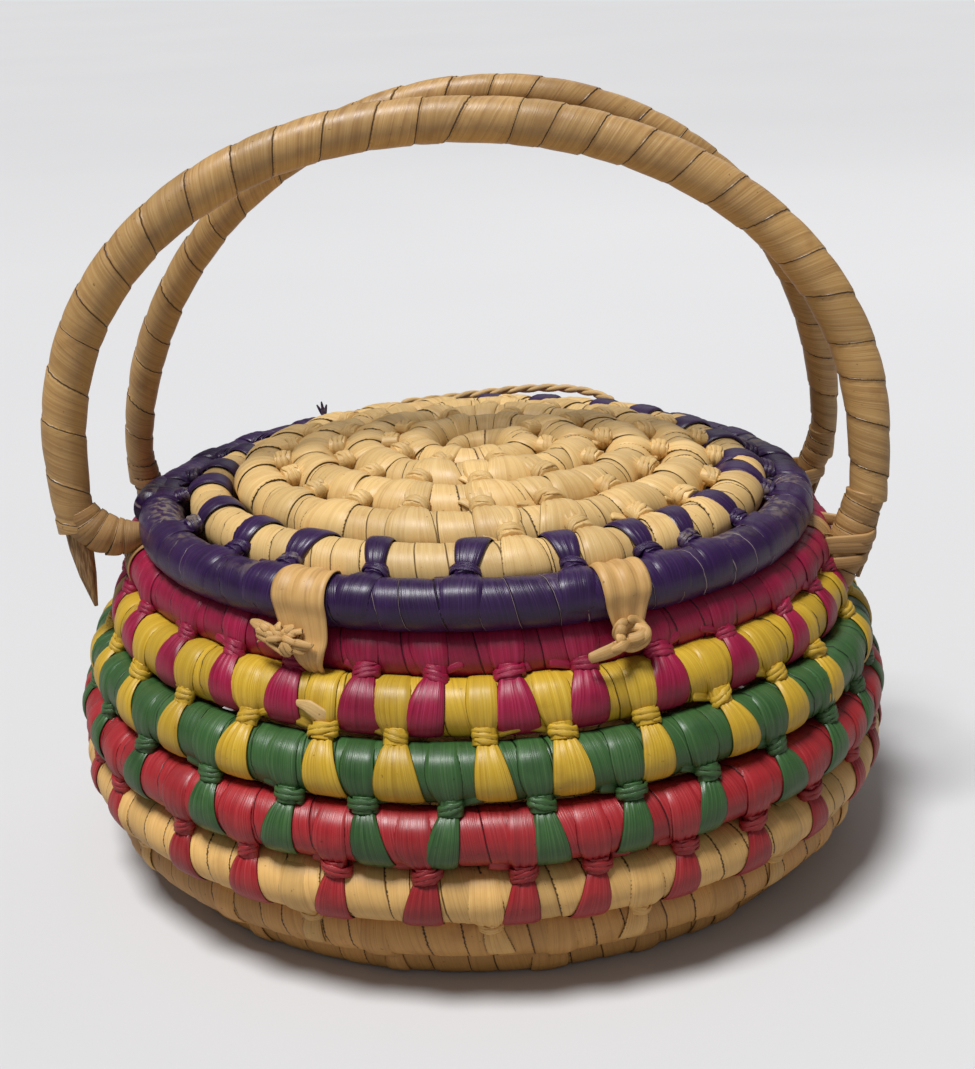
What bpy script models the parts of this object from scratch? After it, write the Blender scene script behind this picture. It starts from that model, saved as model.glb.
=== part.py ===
"""Coiled palm-leaf basket: stacked coil rows, a spiral lid tied on at the front, two hoop handles.

Metres, +Z up, the front of the basket towards -Y. The origin is the middle of the underside, on the
surface that the basket stands on. Every row is a bundle of stems wound with leaf, and each row is
stitched to the row below it at knots, where the coil bulges down to meet its neighbour.
"""

import math

import bmesh
import bpy
from mathutils import Matrix, Vector

# Clearances
seat_gap = 0.0003
row_gap = 0.0009
turn_gap = 0.0012

# Coil thickness
wall_coil_diameter = 0.0130
rim_coil_diameter = 0.0120
lid_coil_diameter = 0.0130
spiral_eye_radius = 0.0006
inner_turn_share = 0.29

# Spirals: where in a turn the coil steps inward, and how thin it starts beside its full thickness
step_start_share = 0.14
step_length_share = 0.72
thin_end_share = 0.1

# Basket wall: the base coil's radius to the middle of the coil, and how far rows step outward
# from the row below. Red stands straight on natural, and the rim stands straight on yellow.
base_radius = 0.0876
natural_lower_step_out = 0.0109
natural_upper_step_out = 0.0031
green_step_in = 0.0037
yellow_step_in = 0.0070

# Lid
lid_inset_from_rim = 0.0081
lid_set_forward = 0.0027
lid_tilt = math.radians(1.2)
lid_dome_height = 0.012
lid_dome_power_share = 2.2

# Lid hinge line, in front of the lid's edge
hinge_forward_of_lid = 0.0025

# Ties that hinge the lid to the rim
tie_angles = (math.radians(-118.2), math.radians(-67.7))
tie_width = 0.0135
tie_thickness = 0.0012
tie_knot_width = 0.0080
tie_knot_thickness = 0.0042

# Where a tie lies round the coil under it, as angles above the outward direction
tie_bend_start = math.radians(128)
tie_bend_end = math.radians(-30)
tie_knot_top = math.radians(42)
tie_knot_bottom = math.radians(22)
tie_end = math.radians(2)

# Pull loop on the far side of the lid
pull_loop_cord_diameter = 0.0024
pull_loop_left_x = -0.024
pull_loop_right_x = 0.036
pull_loop_reach = 0.0085
pull_loop_rise = 0.0010
pull_loop_seat_angle = math.radians(55)
pull_loop_peak_share = 2.0

# Front handle. Its feet clear the rim, it swells outward above them, and rises are from its pivot.
# The feet are short below the pivot, so that they pass the round rim when the handle swings down.
front_handle = {
    "diameter": 0.0115,
    "foot_diameter": 0.0090,
    "tip_diameter": 0.0040,
    "foot_drop": 0.0100,
    "foot_clearance": 0.0020,
    "swell": 0.0018,
    "widest_rise": 0.026,
    "rise": 0.1083,
    "pivot_y": -0.020,
    "top_y": -0.006,
    "shift": -0.0006,
    "skew": -0.0040,
    "arch_power_share": 2.1,
}

# Rear handle
rear_handle = {
    "diameter": 0.0085,
    "foot_diameter": 0.0066,
    "tip_diameter": 0.0040,
    "foot_drop": 0.0080,
    "foot_clearance": 0.0046,
    "swell": 0.0002,
    "widest_rise": 0.006,
    "rise": 0.1137,
    "pivot_y": 0.038,
    "top_y": 0.0052,
    "shift": 0.0015,
    "skew": 0.0045,
    "arch_power_share": 2.0,
}

# Both handles
handle_pivot_above_rim = 0.0010
handle_taper_rise = 0.040
handle_wrap_thickness = 0.0012
handle_core_proud = 0.0012

# Lashings that hold the handles' feet to the rim
lashing_height = 0.0080
lashing_thickness = 0.0016
lashing_clearance = 0.0007

# Stitches that tie one turn of a row to the row beside it
dyed_row_stitches = 31
natural_row_stitches = 15
lid_rim_stitches = 25

# Mesh fineness, and how many sections each stitch takes
dyed_row_stations = 2
natural_row_stations = 4
lid_rim_stations = 2
row_sides = 8
spiral_stations = 24
spiral_sides = 8
arch_stations = 25
leg_stations = 5
handle_sides = 8
cord_sides = 6
cord_stations = 17
band_sides = 8
tie_bend_stations = 9
lashing_bend_stations = 7

up_axis = Vector((0, 0, 1))
across_axis = Vector((1, 0, 0))
pivot_places = {}


def clear_scene():
    for thing in list(bpy.data.objects):
        bpy.data.objects.remove(thing)


def material(name, colour, roughness):
    made = bpy.data.materials.new(name)
    made.use_nodes = True
    shader = made.node_tree.nodes["Principled BSDF"]
    shader.inputs["Base Color"].default_value = (*colour, 1.0)
    shader.inputs["Roughness"].default_value = roughness
    shader.inputs["Metallic"].default_value = 0.0
    return made


def coil_pitch(first_diameter, second_diameter, gap):
    return (first_diameter + second_diameter) / 2 + gap


def climb(pitch, first_radius, second_radius):
    """How far one ring lies above another when their coils are a pitch apart."""
    return math.sqrt(pitch**2 - (second_radius - first_radius) ** 2)


def polygon(radius, sides, turn=0.0):
    """A round section's corners, as steps along its side and up directions."""
    corners = []
    for k in range(sides):
        angle = turn + math.tau * k / sides
        corners.append((radius * math.cos(angle), radius * math.sin(angle)))
    return corners


def polygon_reach(radius, sides, turn, direction):
    """How far the polygon's surface lies from its middle in one direction."""
    step = math.tau / sides
    past_corner = (direction - turn) % step
    return radius * math.cos(step / 2) / math.cos(past_corner - step / 2)


def band_section(thickness, width):
    """A flat strip's section: its thickness along the side direction, its width along up."""
    corners = []
    for a, b in polygon(1.0, band_sides, math.pi / band_sides):
        corners.append((thickness / 2 * a, width / 2 * b))
    return corners


def add_ring(body, points, index, closed, normal, corners):
    """The corners of one section, square to the path at one of its points."""
    count = len(points)
    before = points[(index - 1) % count] if closed or index > 0 else points[index]
    after = points[(index + 1) % count] if closed or index < count - 1 else points[index]
    tangent = (after - before).normalized()
    side = tangent.cross(normal).normalized()
    up = side.cross(tangent)
    return [body.verts.new(points[index] + side * a + up * b) for a, b in corners]


def add_skin(body, near, far):
    for k in range(len(near)):
        following = (k + 1) % len(near)
        body.faces.new((near[k], near[following], far[following], far[k]))


def sweep(points, sections, normal=up_axis, closed=False, bores=None):
    """A solid with a section at each point of a path; bores, if given, make it a tube."""
    body = bmesh.new()
    outer = []
    inner = []
    for index, corners in enumerate(sections):
        outer.append(add_ring(body, points, index, closed, normal, corners))
        if bores:
            inner.append(add_ring(body, points, index, closed, normal, bores[index]))
    for rings in (outer, inner):
        for near, far in zip(rings, rings[1:]):
            add_skin(body, near, far)
        if closed and rings:
            add_skin(body, rings[-1], rings[0])
    if bores:
        add_skin(body, outer[0], inner[0])
        add_skin(body, outer[-1], inner[-1])
    elif not closed:
        body.faces.new(outer[0])
        body.faces.new(outer[-1])
    bmesh.ops.recalc_face_normals(body, faces=body.faces)
    return body


def add_object(name, body, finish, pivot=None, place=None):
    """Turns a bmesh into a named object that keeps its place under its pivot."""
    if place:
        body.transform(place)
    mesh = bpy.data.meshes.new(name)
    body.to_mesh(mesh)
    body.free()
    mesh.shade_smooth()
    mesh.materials.append(finish)
    made = bpy.data.objects.new(name, mesh)
    bpy.context.scene.collection.objects.link(made)
    if pivot:
        made.parent = pivot
        made.matrix_parent_inverse = Matrix.Translation(-pivot_places[pivot.name])


def add_pivot(name, place, parent=None):
    """An empty on a joint's axis, at a place in the basket's frame."""
    pivot = bpy.data.objects.new(name, None)
    pivot.location = place
    bpy.context.scene.collection.objects.link(pivot)
    pivot_places[name] = Vector(place)
    if parent:
        pivot.parent = parent
        pivot.matrix_parent_inverse = Matrix.Translation(-pivot_places[parent.name])
    print(name, [round(value, 5) for value in place])
    return pivot


def ring_path(radius, height, count):
    points = []
    for i in range(count):
        angle = math.tau * i / count
        points.append(Vector((radius * math.cos(angle), radius * math.sin(angle), height)))
    return points


def stitched_ring(radius, height, diameter, stitch_direction, knot_reach, stitches, stations):
    """A closed coil whose corner on the stitched side is drawn out once in each stitch."""
    sections = []
    for i in range(stitches * stations):
        corners = polygon(diameter / 2, row_sides, stitch_direction)
        if i % stations == 0:
            reach = max(knot_reach, diameter / 2)
            corners[0] = (reach * math.cos(stitch_direction), reach * math.sin(stitch_direction))
        sections.append(corners)
    return sweep(ring_path(radius, height, len(sections)), sections, closed=True)


def step_inward(share):
    """Nought to one over a turn that starts at the front: all of it round the far side."""
    s = min(max((share - step_start_share) / step_length_share, 0.0), 1.0)
    return s * s * (3 - 2 * s)


def spiral_turns(outer_radius, diameter):
    """Each turn's radius at the front and half its thickness, from outside inward.

    A turn is full as long as it has room. Further in it is a share of the room inside the turn
    before it, so the coil thins and curls on to the centre.
    """
    half = diameter / 2
    turns = [(outer_radius + diameter + turn_gap, half), (outer_radius, half)]
    while True:
        radius, half = turns[-1]
        room = radius - half - turn_gap
        if room < spiral_eye_radius:
            return turns
        half = min(diameter / 2, room * inner_turn_share)
        turns.append((room - half, half))


def spiral_coil(outer_radius, diameter, height_of, turn):
    """The path and sections of one unbroken coil that is round at the front.

    Each turn steps inward round the far side. There the coil also starts, thin, in the wedge
    between its first turn and the circle that its outer turn fills.
    """
    turns = spiral_turns(outer_radius, diameter)
    bound = outer_radius + diameter / 2
    thinnest = diameter * thin_end_share
    points = []
    sections = []
    for index in range((len(turns) - 1) * spiral_stations):
        share = index / spiral_stations
        number = math.floor(share)
        inward = step_inward(share % 1.0)
        first_radius, first_half = turns[number]
        next_radius, next_half = turns[number + 1]
        radius = first_radius + (next_radius - first_radius) * inward
        half = first_half + (next_half - first_half) * inward
        if radius > outer_radius:
            inner_edge = radius - half
            half = (bound - turn_gap - inner_edge) / 2
            radius = inner_edge + half
            if half <= thinnest:
                continue
        angle = math.tau * share - math.pi / 2
        outward = Vector((math.cos(angle), math.sin(angle), 0))
        points.append(outward * radius + up_axis * height_of(radius, half))
        sections.append(polygon(half, spiral_sides, turn))
    return points, sections


def report_gap_to_itself(name, points, sections):
    """Prints the least clear distance between parts of a coil half a turn or more apart."""
    halves = [Vector(section[0]).length for section in sections]
    least = math.inf
    for i, first in enumerate(points):
        for j in range(i + spiral_stations // 2, len(points)):
            least = min(least, (points[j] - first).length - halves[i] - halves[j])
    print(name, "least gap to itself", round(least, 5))


# The base coil lies on one flat of its section
flat_turn = math.pi / spiral_sides - math.pi / 2
flat_share = math.cos(math.pi / spiral_sides)
base_height = wall_coil_diameter / 2 * flat_share


def build_base(finish):
    def height_of(radius, half):
        return half * flat_share

    points, sections = spiral_coil(base_radius, wall_coil_diameter, height_of, flat_turn)
    report_gap_to_itself("base_spiral", points, sections)
    add_object("base_spiral", sweep(points, sections), finish)


def wall_rows():
    """Each row's radius, diameter, height, direction to the row below and knot reach, by name."""
    plan = (
        ("wall_row_natural_lower", natural_lower_step_out, wall_coil_diameter),
        ("wall_row_natural_upper", natural_upper_step_out, wall_coil_diameter),
        ("wall_row_red", 0.0, wall_coil_diameter),
        ("wall_row_green", -green_step_in, wall_coil_diameter),
        ("wall_row_yellow", -yellow_step_in, wall_coil_diameter),
        ("rim_row_pink", 0.0, rim_coil_diameter),
    )
    rows = {}
    below_radius = base_radius
    below_height = base_height
    below_diameter = wall_coil_diameter
    below_turn = flat_turn
    for name, step_out, diameter in plan:
        radius = below_radius + step_out
        pitch = coil_pitch(below_diameter, diameter, row_gap)
        height = below_height + climb(pitch, below_radius, radius)
        down = math.atan2(below_height - height, below_radius - radius)
        facing = polygon_reach(below_diameter / 2, row_sides, below_turn, down + math.pi)
        rows[name] = (radius, diameter, height, down, pitch - facing - seat_gap)
        below_radius = radius
        below_height = height
        below_diameter = diameter
        below_turn = down
    return rows


rows = wall_rows()
rim_radius = rows["rim_row_pink"][0]
rim_height = rows["rim_row_pink"][2]
rim_edge_radius = rim_radius + rim_coil_diameter / 2

handle_pivot_height = rim_height + handle_pivot_above_rim

# The lid sits on the rim at the front and leans back from there
lid_rim_radius = rim_radius - lid_inset_from_rim
lid_front_radius = lid_rim_radius + lid_set_forward
lid_seat_pitch = coil_pitch(rim_coil_diameter, rim_coil_diameter, seat_gap)
lid_front_height = rim_height + climb(lid_seat_pitch, lid_front_radius, rim_radius)
lid_height = lid_front_height - lid_rim_radius * math.sin(lid_tilt)
lid_centre = Vector((0, -lid_set_forward, lid_height))
lid_place = Matrix.Translation(lid_centre) @ Matrix.Rotation(-lid_tilt, 4, "X")
lid_outer_turn = lid_rim_radius - coil_pitch(rim_coil_diameter, lid_coil_diameter, seat_gap)
hinge_y = -(lid_front_radius + rim_coil_diameter / 2 + hinge_forward_of_lid)


def dome(radius):
    """How far a turn of the lid lies above the plane of the lid's rim."""
    return lid_dome_height * (1 - (radius / lid_rim_radius) ** lid_dome_power_share)


def build_wall(finishes):
    for name, (radius, diameter, height, down, knot_reach) in rows.items():
        natural = "natural" in name
        stitches = natural_row_stitches if natural else dyed_row_stitches
        stations = natural_row_stations if natural else dyed_row_stations
        body = stitched_ring(radius, height, diameter, down, knot_reach, stitches, stations)
        add_object(name, body, finishes[name])


def build_lid(coil_finish, rim_finish, hinge):
    def height_of(radius, half):
        return dome(radius)

    points, sections = spiral_coil(lid_outer_turn, lid_coil_diameter, height_of, 0.0)
    report_gap_to_itself("lid_spiral", points, sections)
    add_object("lid_spiral", sweep(points, sections), coil_finish, hinge, lid_place)

    inward = lid_rim_radius - lid_outer_turn
    upward = dome(lid_outer_turn)
    to_spiral = math.atan2(upward, -inward)
    facing = polygon_reach(lid_coil_diameter / 2, spiral_sides, 0.0, to_spiral + math.pi)
    knot_reach = math.hypot(inward, upward) - facing - seat_gap
    rim = stitched_ring(
        lid_rim_radius,
        0.0,
        rim_coil_diameter,
        to_spiral,
        knot_reach,
        lid_rim_stitches,
        lid_rim_stations,
    )
    add_object("lid_rim_purple", rim, rim_finish, hinge, lid_place)


def lid_rim_point(angle):
    """The middle of the lid's rim in the vertical plane through the origin at one angle."""
    outward = Vector((math.cos(angle), math.sin(angle)))
    centre = lid_centre.to_2d()
    along = centre.dot(outward)
    away = math.sqrt(lid_rim_radius**2 - centre.length**2 + along**2)
    flat = outward * (along + away)
    height = lid_centre.z - math.tan(lid_tilt) * (flat.y - centre.y)
    return Vector((flat.x, flat.y, height))


def build_tie(name, angle, finish):
    """A band over the lid's rim that ends in a knot on the outside of the basket's rim."""
    outward = Vector((math.cos(angle), math.sin(angle), 0))
    along = up_axis.cross(outward)
    bow_under_width = tie_width**2 / (8 * lid_rim_radius)
    inner_reach = rim_coil_diameter / 2 + seat_gap + bow_under_width
    over_lid = lid_rim_point(angle)
    over_rim = outward * rim_radius + up_axis * rim_height
    stations = []
    for i in range(tie_bend_stations):
        turn = tie_bend_start + (tie_bend_end - tie_bend_start) * i / (tie_bend_stations - 1)
        stations.append((over_lid, turn, tie_thickness, tie_width))
    stations.append((over_rim, tie_knot_top, tie_knot_thickness, tie_knot_width))
    stations.append((over_rim, tie_knot_bottom, tie_knot_thickness, tie_knot_width))
    stations.append((over_rim, tie_end, tie_thickness, tie_knot_width))
    points = []
    sections = []
    for middle, turn, thickness, width in stations:
        reach = inner_reach + thickness / 2
        points.append(middle + outward * reach * math.cos(turn) + up_axis * reach * math.sin(turn))
        sections.append(band_section(thickness, width))
    add_object(name, sweep(points, sections, normal=along), finish)


def pull_loop_path():
    """The loop lies along the outside of the lid's rim and swells out towards its right end."""
    seat = rim_coil_diameter / 2 + seat_gap + pull_loop_cord_diameter / 2
    points = []
    for i in range(cord_stations):
        share = i / (cord_stations - 1)
        x = pull_loop_left_x + (pull_loop_right_x - pull_loop_left_x) * share
        outward = Vector((x, math.sqrt(lid_rim_radius**2 - x**2), 0)).normalized()
        swell = math.sin(math.pi * share**pull_loop_peak_share)
        out = seat * math.cos(pull_loop_seat_angle) + pull_loop_reach * swell
        rise = seat * math.sin(pull_loop_seat_angle) + pull_loop_rise * swell
        points.append(lid_place @ (outward * (lid_rim_radius + out) + up_axis * rise))
    return points


def build_pull_loop(finish, hinge):
    points = pull_loop_path()
    sections = [polygon(pull_loop_cord_diameter / 2, cord_sides)] * cord_stations
    pivot = add_pivot("pull_loop_pivot", (points[0] + points[-1]) / 2, hinge)
    print("pull_loop_axis", [round(v, 5) for v in (points[-1] - points[0]).normalized()])
    add_object("lid_pull_loop", sweep(points, sections), finish, pivot)


def foot_half_width(handle):
    """Half the distance between a handle's feet, which clear the outside of the rim."""
    from_middle = rim_edge_radius + handle["foot_clearance"] + handle["foot_diameter"] / 2
    return math.sqrt(from_middle**2 - handle["pivot_y"] ** 2)


def handle_path(handle):
    """(points, sections) from the right foot's tip over the arch to the left foot's tip."""
    rise = handle["rise"]
    lean_slope = (handle["top_y"] - handle["pivot_y"]) / rise
    widest_rise = handle["widest_rise"]
    half_width = foot_half_width(handle) + handle["swell"]
    foot_share = foot_half_width(handle) / half_width
    leg_depth = widest_rise / math.sqrt(1 - foot_share**2)
    power = 2 / handle["arch_power_share"]
    half_places = []
    for i in range(leg_stations):
        height = -handle["foot_drop"] + (widest_rise + handle["foot_drop"]) * i / leg_stations
        below = (widest_rise - height) / leg_depth
        half_places.append((half_width * math.sqrt(1 - below**2), height))
    for i in range(arch_stations // 2 + 1):
        angle = math.pi * i / (arch_stations - 1)
        x = half_width * max(math.cos(angle), 0.0) ** power
        half_places.append((x, widest_rise + (rise - widest_rise) * math.sin(angle) ** power))
    points = []
    sections = []
    mirrored = [(-x, height) for x, height in reversed(half_places[:-1])]
    for x, height in half_places + mirrored:
        middle = handle["shift"] + handle["skew"] * max(height, 0.0) / rise
        place = Vector((x + middle, handle["pivot_y"] + lean_slope * height, 0))
        place.z = handle_pivot_height + height
        points.append(place)
        sections.append(handle_half_thickness(handle, height))
    return points, sections, Vector((0, lean_slope, 1)).normalized()


def handle_half_thickness(handle, height):
    """Half the wound thickness at a height above the pivot, thinning down to the foot's tip."""
    if height < 0:
        share = -height / handle["foot_drop"]
        return (handle["foot_diameter"] * (1 - share) + handle["tip_diameter"] * share) / 2
    share = min(height / handle_taper_rise, 1.0)
    return (handle["foot_diameter"] * (1 - share) + handle["diameter"] * share) / 2


def build_handle(name, handle, core_finish, wrap_finish, pivot):
    """A wound tube with a core inside it that shows at both feet."""
    points, halves, upward = handle_path(handle)
    normal = across_axis.cross(upward)
    outer = [polygon(half, handle_sides) for half in halves]
    bores = [polygon(half - handle_wrap_thickness, handle_sides) for half in halves]
    wrap = sweep(points, outer, normal=normal, bores=bores)
    add_object(name + "_wrap", wrap, wrap_finish, pivot)

    core_halves = [half - handle_wrap_thickness - seat_gap for half in halves]
    core_points = list(points)
    core_points[0] = points[0] + (points[0] - points[1]).normalized() * handle_core_proud
    core_points[-1] = points[-1] + (points[-1] - points[-2]).normalized() * handle_core_proud
    core = sweep(core_points, [polygon(half, handle_sides) for half in core_halves], normal=normal)
    add_object(name + "_core", core, core_finish, pivot)


def build_lashing(name, handle, side, finish):
    """A band from the rim round the outside of one foot and back to the rim."""
    upward = handle_path(handle)[2]
    leg_x = side * foot_half_width(handle) + handle["shift"]
    bend = handle["foot_diameter"] / 2 + lashing_clearance + lashing_thickness / 2
    lean_step = lashing_height / 2 * abs(upward.y)
    centre = Vector((leg_x, handle["pivot_y"], handle_pivot_height))
    places = []
    for i in range(lashing_bend_stations):
        turn = -math.pi / 2 + math.pi * i / (lashing_bend_stations - 1)
        places.append((side * bend * math.cos(turn), bend * math.sin(turn)))
    for end in (0, -1):
        y = abs(handle["pivot_y"] + places[end][1])
        nearest_y = y - lashing_thickness / 2 - lean_step
        surface_x = math.sqrt((rim_edge_radius + seat_gap) ** 2 - nearest_y**2)
        places.insert(0 if end == 0 else len(places), (side * surface_x - leg_x, places[end][1]))
    forward = upward.cross(across_axis)
    points = [centre + across_axis * x + forward * y for x, y in places]
    sections = [band_section(lashing_thickness, lashing_height)] * len(points)
    add_object(name, sweep(points, sections, normal=upward), finish)


def build_basket():
    clear_scene()
    cream = material("natural_leaf_cream", (0.74, 0.55, 0.30), 0.55)
    tan = material("natural_leaf_tan", (0.52, 0.31, 0.16), 0.60)
    red = material("leaf_red", (0.33, 0.03, 0.05), 0.45)
    green = material("leaf_green", (0.05, 0.13, 0.07), 0.45)
    yellow = material("leaf_yellow", (0.64, 0.40, 0.06), 0.50)
    pink = material("leaf_pink", (0.34, 0.02, 0.10), 0.50)
    purple = material("leaf_purple", (0.05, 0.03, 0.13), 0.50)
    handle_leaf = material("handle_leaf", (0.55, 0.35, 0.17), 0.55)
    stem = material("handle_stem", (0.38, 0.25, 0.12), 0.80)
    tie_leaf = material("tie_leaf", (0.55, 0.38, 0.19), 0.65)
    cord = material("twisted_cord", (0.16, 0.10, 0.08), 0.80)

    build_base(tan)
    build_wall(
        {
            "wall_row_natural_lower": tan,
            "wall_row_natural_upper": cream,
            "wall_row_red": red,
            "wall_row_green": green,
            "wall_row_yellow": yellow,
            "rim_row_pink": pink,
        }
    )

    hinge = add_pivot("lid_hinge_pivot", (0, hinge_y, lid_front_height))
    build_lid(cream, purple, hinge)
    build_pull_loop(cord, hinge)
    build_tie("hinge_tie_left", tie_angles[0], tie_leaf)
    build_tie("hinge_tie_right", tie_angles[1], tie_leaf)

    for name, handle in (("handle_front", front_handle), ("handle_rear", rear_handle)):
        pivot = add_pivot(name + "_pivot", (0, handle["pivot_y"], handle_pivot_height))
        build_handle(name, handle, stem, handle_leaf, pivot)
        end = name.removeprefix("handle_")
        build_lashing(f"handle_lashing_{end}_right", handle, 1, tie_leaf)
        build_lashing(f"handle_lashing_{end}_left", handle, -1, tie_leaf)


build_basket()
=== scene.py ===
"""Looks for the coiled palm-leaf basket, in the same frame as its solids.

Metres, +Z up, the front towards -Y. Every coil is a tube wound with leaf, and every stitch is a
strip that leaves one coil, is gathered in a knot in the groove and opens out over the next coil.
"""

import math

import bpy
import numpy as np
from mathutils import Matrix, Vector


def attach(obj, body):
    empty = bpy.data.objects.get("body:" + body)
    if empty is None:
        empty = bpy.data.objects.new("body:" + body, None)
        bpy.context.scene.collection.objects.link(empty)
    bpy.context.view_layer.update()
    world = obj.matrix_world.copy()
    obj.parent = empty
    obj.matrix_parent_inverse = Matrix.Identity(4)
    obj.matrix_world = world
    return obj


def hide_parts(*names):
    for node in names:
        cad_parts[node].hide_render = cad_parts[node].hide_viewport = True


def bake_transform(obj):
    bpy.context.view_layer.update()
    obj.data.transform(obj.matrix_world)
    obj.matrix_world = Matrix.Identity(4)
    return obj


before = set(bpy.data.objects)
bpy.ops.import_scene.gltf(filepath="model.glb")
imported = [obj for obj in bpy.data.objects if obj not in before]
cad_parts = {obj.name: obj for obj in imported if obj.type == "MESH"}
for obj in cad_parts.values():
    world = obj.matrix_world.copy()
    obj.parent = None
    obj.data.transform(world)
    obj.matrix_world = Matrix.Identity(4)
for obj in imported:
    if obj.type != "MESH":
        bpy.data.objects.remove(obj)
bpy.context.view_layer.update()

# Clearances and coils, as in the solids
seat_gap = 0.0003
row_gap = 0.0009
turn_gap = 0.0012
wall_coil = 0.0130
rim_coil = 0.0120
lid_coil = 0.0130
spiral_eye_radius = 0.0006
inner_turn_share = 0.29
step_start_share = 0.14
step_length_share = 0.72
thin_end_share = 0.1
# The solids' base coil has eight sides and lies on a flat one
flat_side_share = math.cos(math.pi / 8)

# Rows and lid, as in the solids
base_radius = 0.0876
natural_lower_step_out = 0.0109
natural_upper_step_out = 0.0031
green_step_in = 0.0037
yellow_step_in = 0.0070
# From the base up: name, step out from the row below, coil and slot
row_plan = (
    ("wall_row_natural_lower", natural_lower_step_out, wall_coil, "leaf_tan"),
    ("wall_row_natural_upper", natural_upper_step_out, wall_coil, "leaf_cream"),
    ("wall_row_red", 0.0, wall_coil, "leaf_red"),
    ("wall_row_green", -green_step_in, wall_coil, "leaf_green"),
    ("wall_row_yellow", -yellow_step_in, wall_coil, "leaf_yellow"),
    ("rim_row_pink", 0.0, rim_coil, "leaf_pink"),
)
lid_inset_from_rim = 0.0081
lid_set_forward = 0.0027
lid_tilt = math.radians(1.2)
lid_dome_height = 0.012
lid_dome_power_share = 2.2

# Handles, as in the solids
front_handle = {
    "diameter": 0.0115, "foot_diameter": 0.0090, "foot_clearance": 0.0020, "swell": 0.0018,
    "widest_rise": 0.026, "rise": 0.1083, "pivot_y": -0.020, "top_y": -0.006, "shift": -0.0006,
    "skew": -0.0040, "arch_power_share": 2.1,
}
rear_handle = {
    "diameter": 0.0085, "foot_diameter": 0.0066, "foot_clearance": 0.0046, "swell": 0.0002,
    "widest_rise": 0.006, "rise": 0.1137, "pivot_y": 0.038, "top_y": 0.0052, "shift": 0.0015,
    "skew": 0.0045, "arch_power_share": 2.0,
}
handle_pivot_above_rim = 0.0010
handle_taper_rise = 0.040
# The winding starts above the pivot, inside the windings of the foot
handle_end_rise = 0.0090
least_leg_length = 0.001
least_leg_share = 0.5

# Leaf wound round the coils and handles
wrap_width = 0.0076
lid_wrap_width = 0.0062
handle_strip_width = 0.0118
least_wraps = 3
wrap_unevenness = 0.55
wrap_step = 0.00032
handle_wrap_step = 0.00045
# Each wrap rises above its neighbour, bulges and falls, by these shares of the step
relief_start = 0.35
relief_bulge = 0.8
relief_unevenness = 0.5
full_relief_radius = 0.004
leaf_thickness = 0.00035

# Unevenness of the coils: waves round the basket as (count, weight)
coil_wobble = 0.00035
wobble_waves = ((2, 1.0), (3, 0.7), (5, 0.5), (9, 0.3))
wobble_phase = 0.37
height_wobble_share = 0.6
spiral_wobble_share = 0.5
height_seed_step = 0.3
wall_stitch_seed = 21
lashing_seed = 81
lid_rim_seeds = (9, 9.4)
lid_spiral_seed = 12
base_spiral_seed = 15
coil_fullness = 0.0003

# How far the pink row sits back from the yellow row, by share of a turn from the front
pink_shares = (0.0, 0.06, 0.12, 0.18, 0.25, 0.34, 0.50, 0.66, 0.735, 0.79, 0.86, 0.93, 1.0)
pink_set_back = (
    0.0074, 0.0070, 0.0056, 0.0042, 0.0032, 0.0040, 0.0030, 0.0018, 0.0012, 0.0048, 0.0074, 0.0078, 0.0074,
)
# How far the middle rows are pushed up at the front, and where
front_lifts = {"wall_row_red": 0.0007, "wall_row_green": 0.0013, "wall_row_yellow": 0.0021}
lift_places = (0.0, 0.10, 0.17, 0.24, 0.76, 0.83, 0.90, 1.0)
lift_share = (1.0, 1.0, 0.55, 0.0, 0.0, 0.5, 1.0, 1.0)
lowest_row_back = 0.0025
lowest_row_lift = 0.0010

# Where the lid rim's end lies over its start
overlap_shares = (0.695, 0.762)
overlap_stations = 90
overlap_half = 0.0046
overlap_blunt_at = 0.93
overlap_bulge = 0.54
overlap_power = 0.7
overlap_out = 0.0032
overlap_up = 0.0022
overlap_wrap_width = 0.0048

# Ties: which coil a strip lies on, the angle above outward, its width and its sideways drift
tie_angles = (math.radians(-116.9), math.radians(-68.3))
tie_follow_share = 0.5
tie_lift = 0.0006
tie_crease = 0.00026
tie_crease_across = 7.5
tie_crease_along = 2.5
tie_strip_length = 1.6
tie_strip_half = 0.465
left_tie_route = (
    ("lid", 150, 0.0134, 0.0),
    ("lid", 118, 0.0150, 0.0),
    ("lid", 84, 0.0154, 0.0),
    ("lid", 50, 0.0154, 0.0),
    ("lid", 16, 0.0152, 0.0004),
    ("lid", -18, 0.0146, 0.0010),
    ("rim", 36, 0.0124, 0.0024),
    ("rim", 10, 0.0092, 0.0036),
    ("rim", -20, 0.0062, 0.0042),
    ("rim", -55, 0.0040, 0.0050),
)
right_tie_route = (
    ("lid", 150, 0.0116, 0.0),
    ("lid", 118, 0.0128, 0.0),
    ("lid", 84, 0.0132, 0.0),
    ("lid", 50, 0.0130, 0.0),
    ("lid", 16, 0.0126, 0.0),
    ("lid", -18, 0.0108, -0.0002),
    ("rim", 40, 0.0076, -0.0004),
    ("rim", 18, 0.0046, -0.0006),
    ("rim", 0, 0.0024, -0.0006),
)

# The left tie's tangle. Places beside the rim are (sideways, angle above outward, lift)
tangle_strands = 24
tangle_seed = 70
# Where a strand starts, turns and ends, and how far chance moves it there
tangle_spots = (
    ((-0.0026, 0.42, 0.0008), (0.005, 0.3, 0.0)),
    ((-0.0026, 0.44, 0.0016), (1.0, 0.38, 0.0016)),
    ((-0.0028, 0.42, 0.0010), (1.0, 0.36, 0.0018)),
)
tangle_reach = (0.0032, 0.0052)
tangle_turn = 1.7
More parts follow.
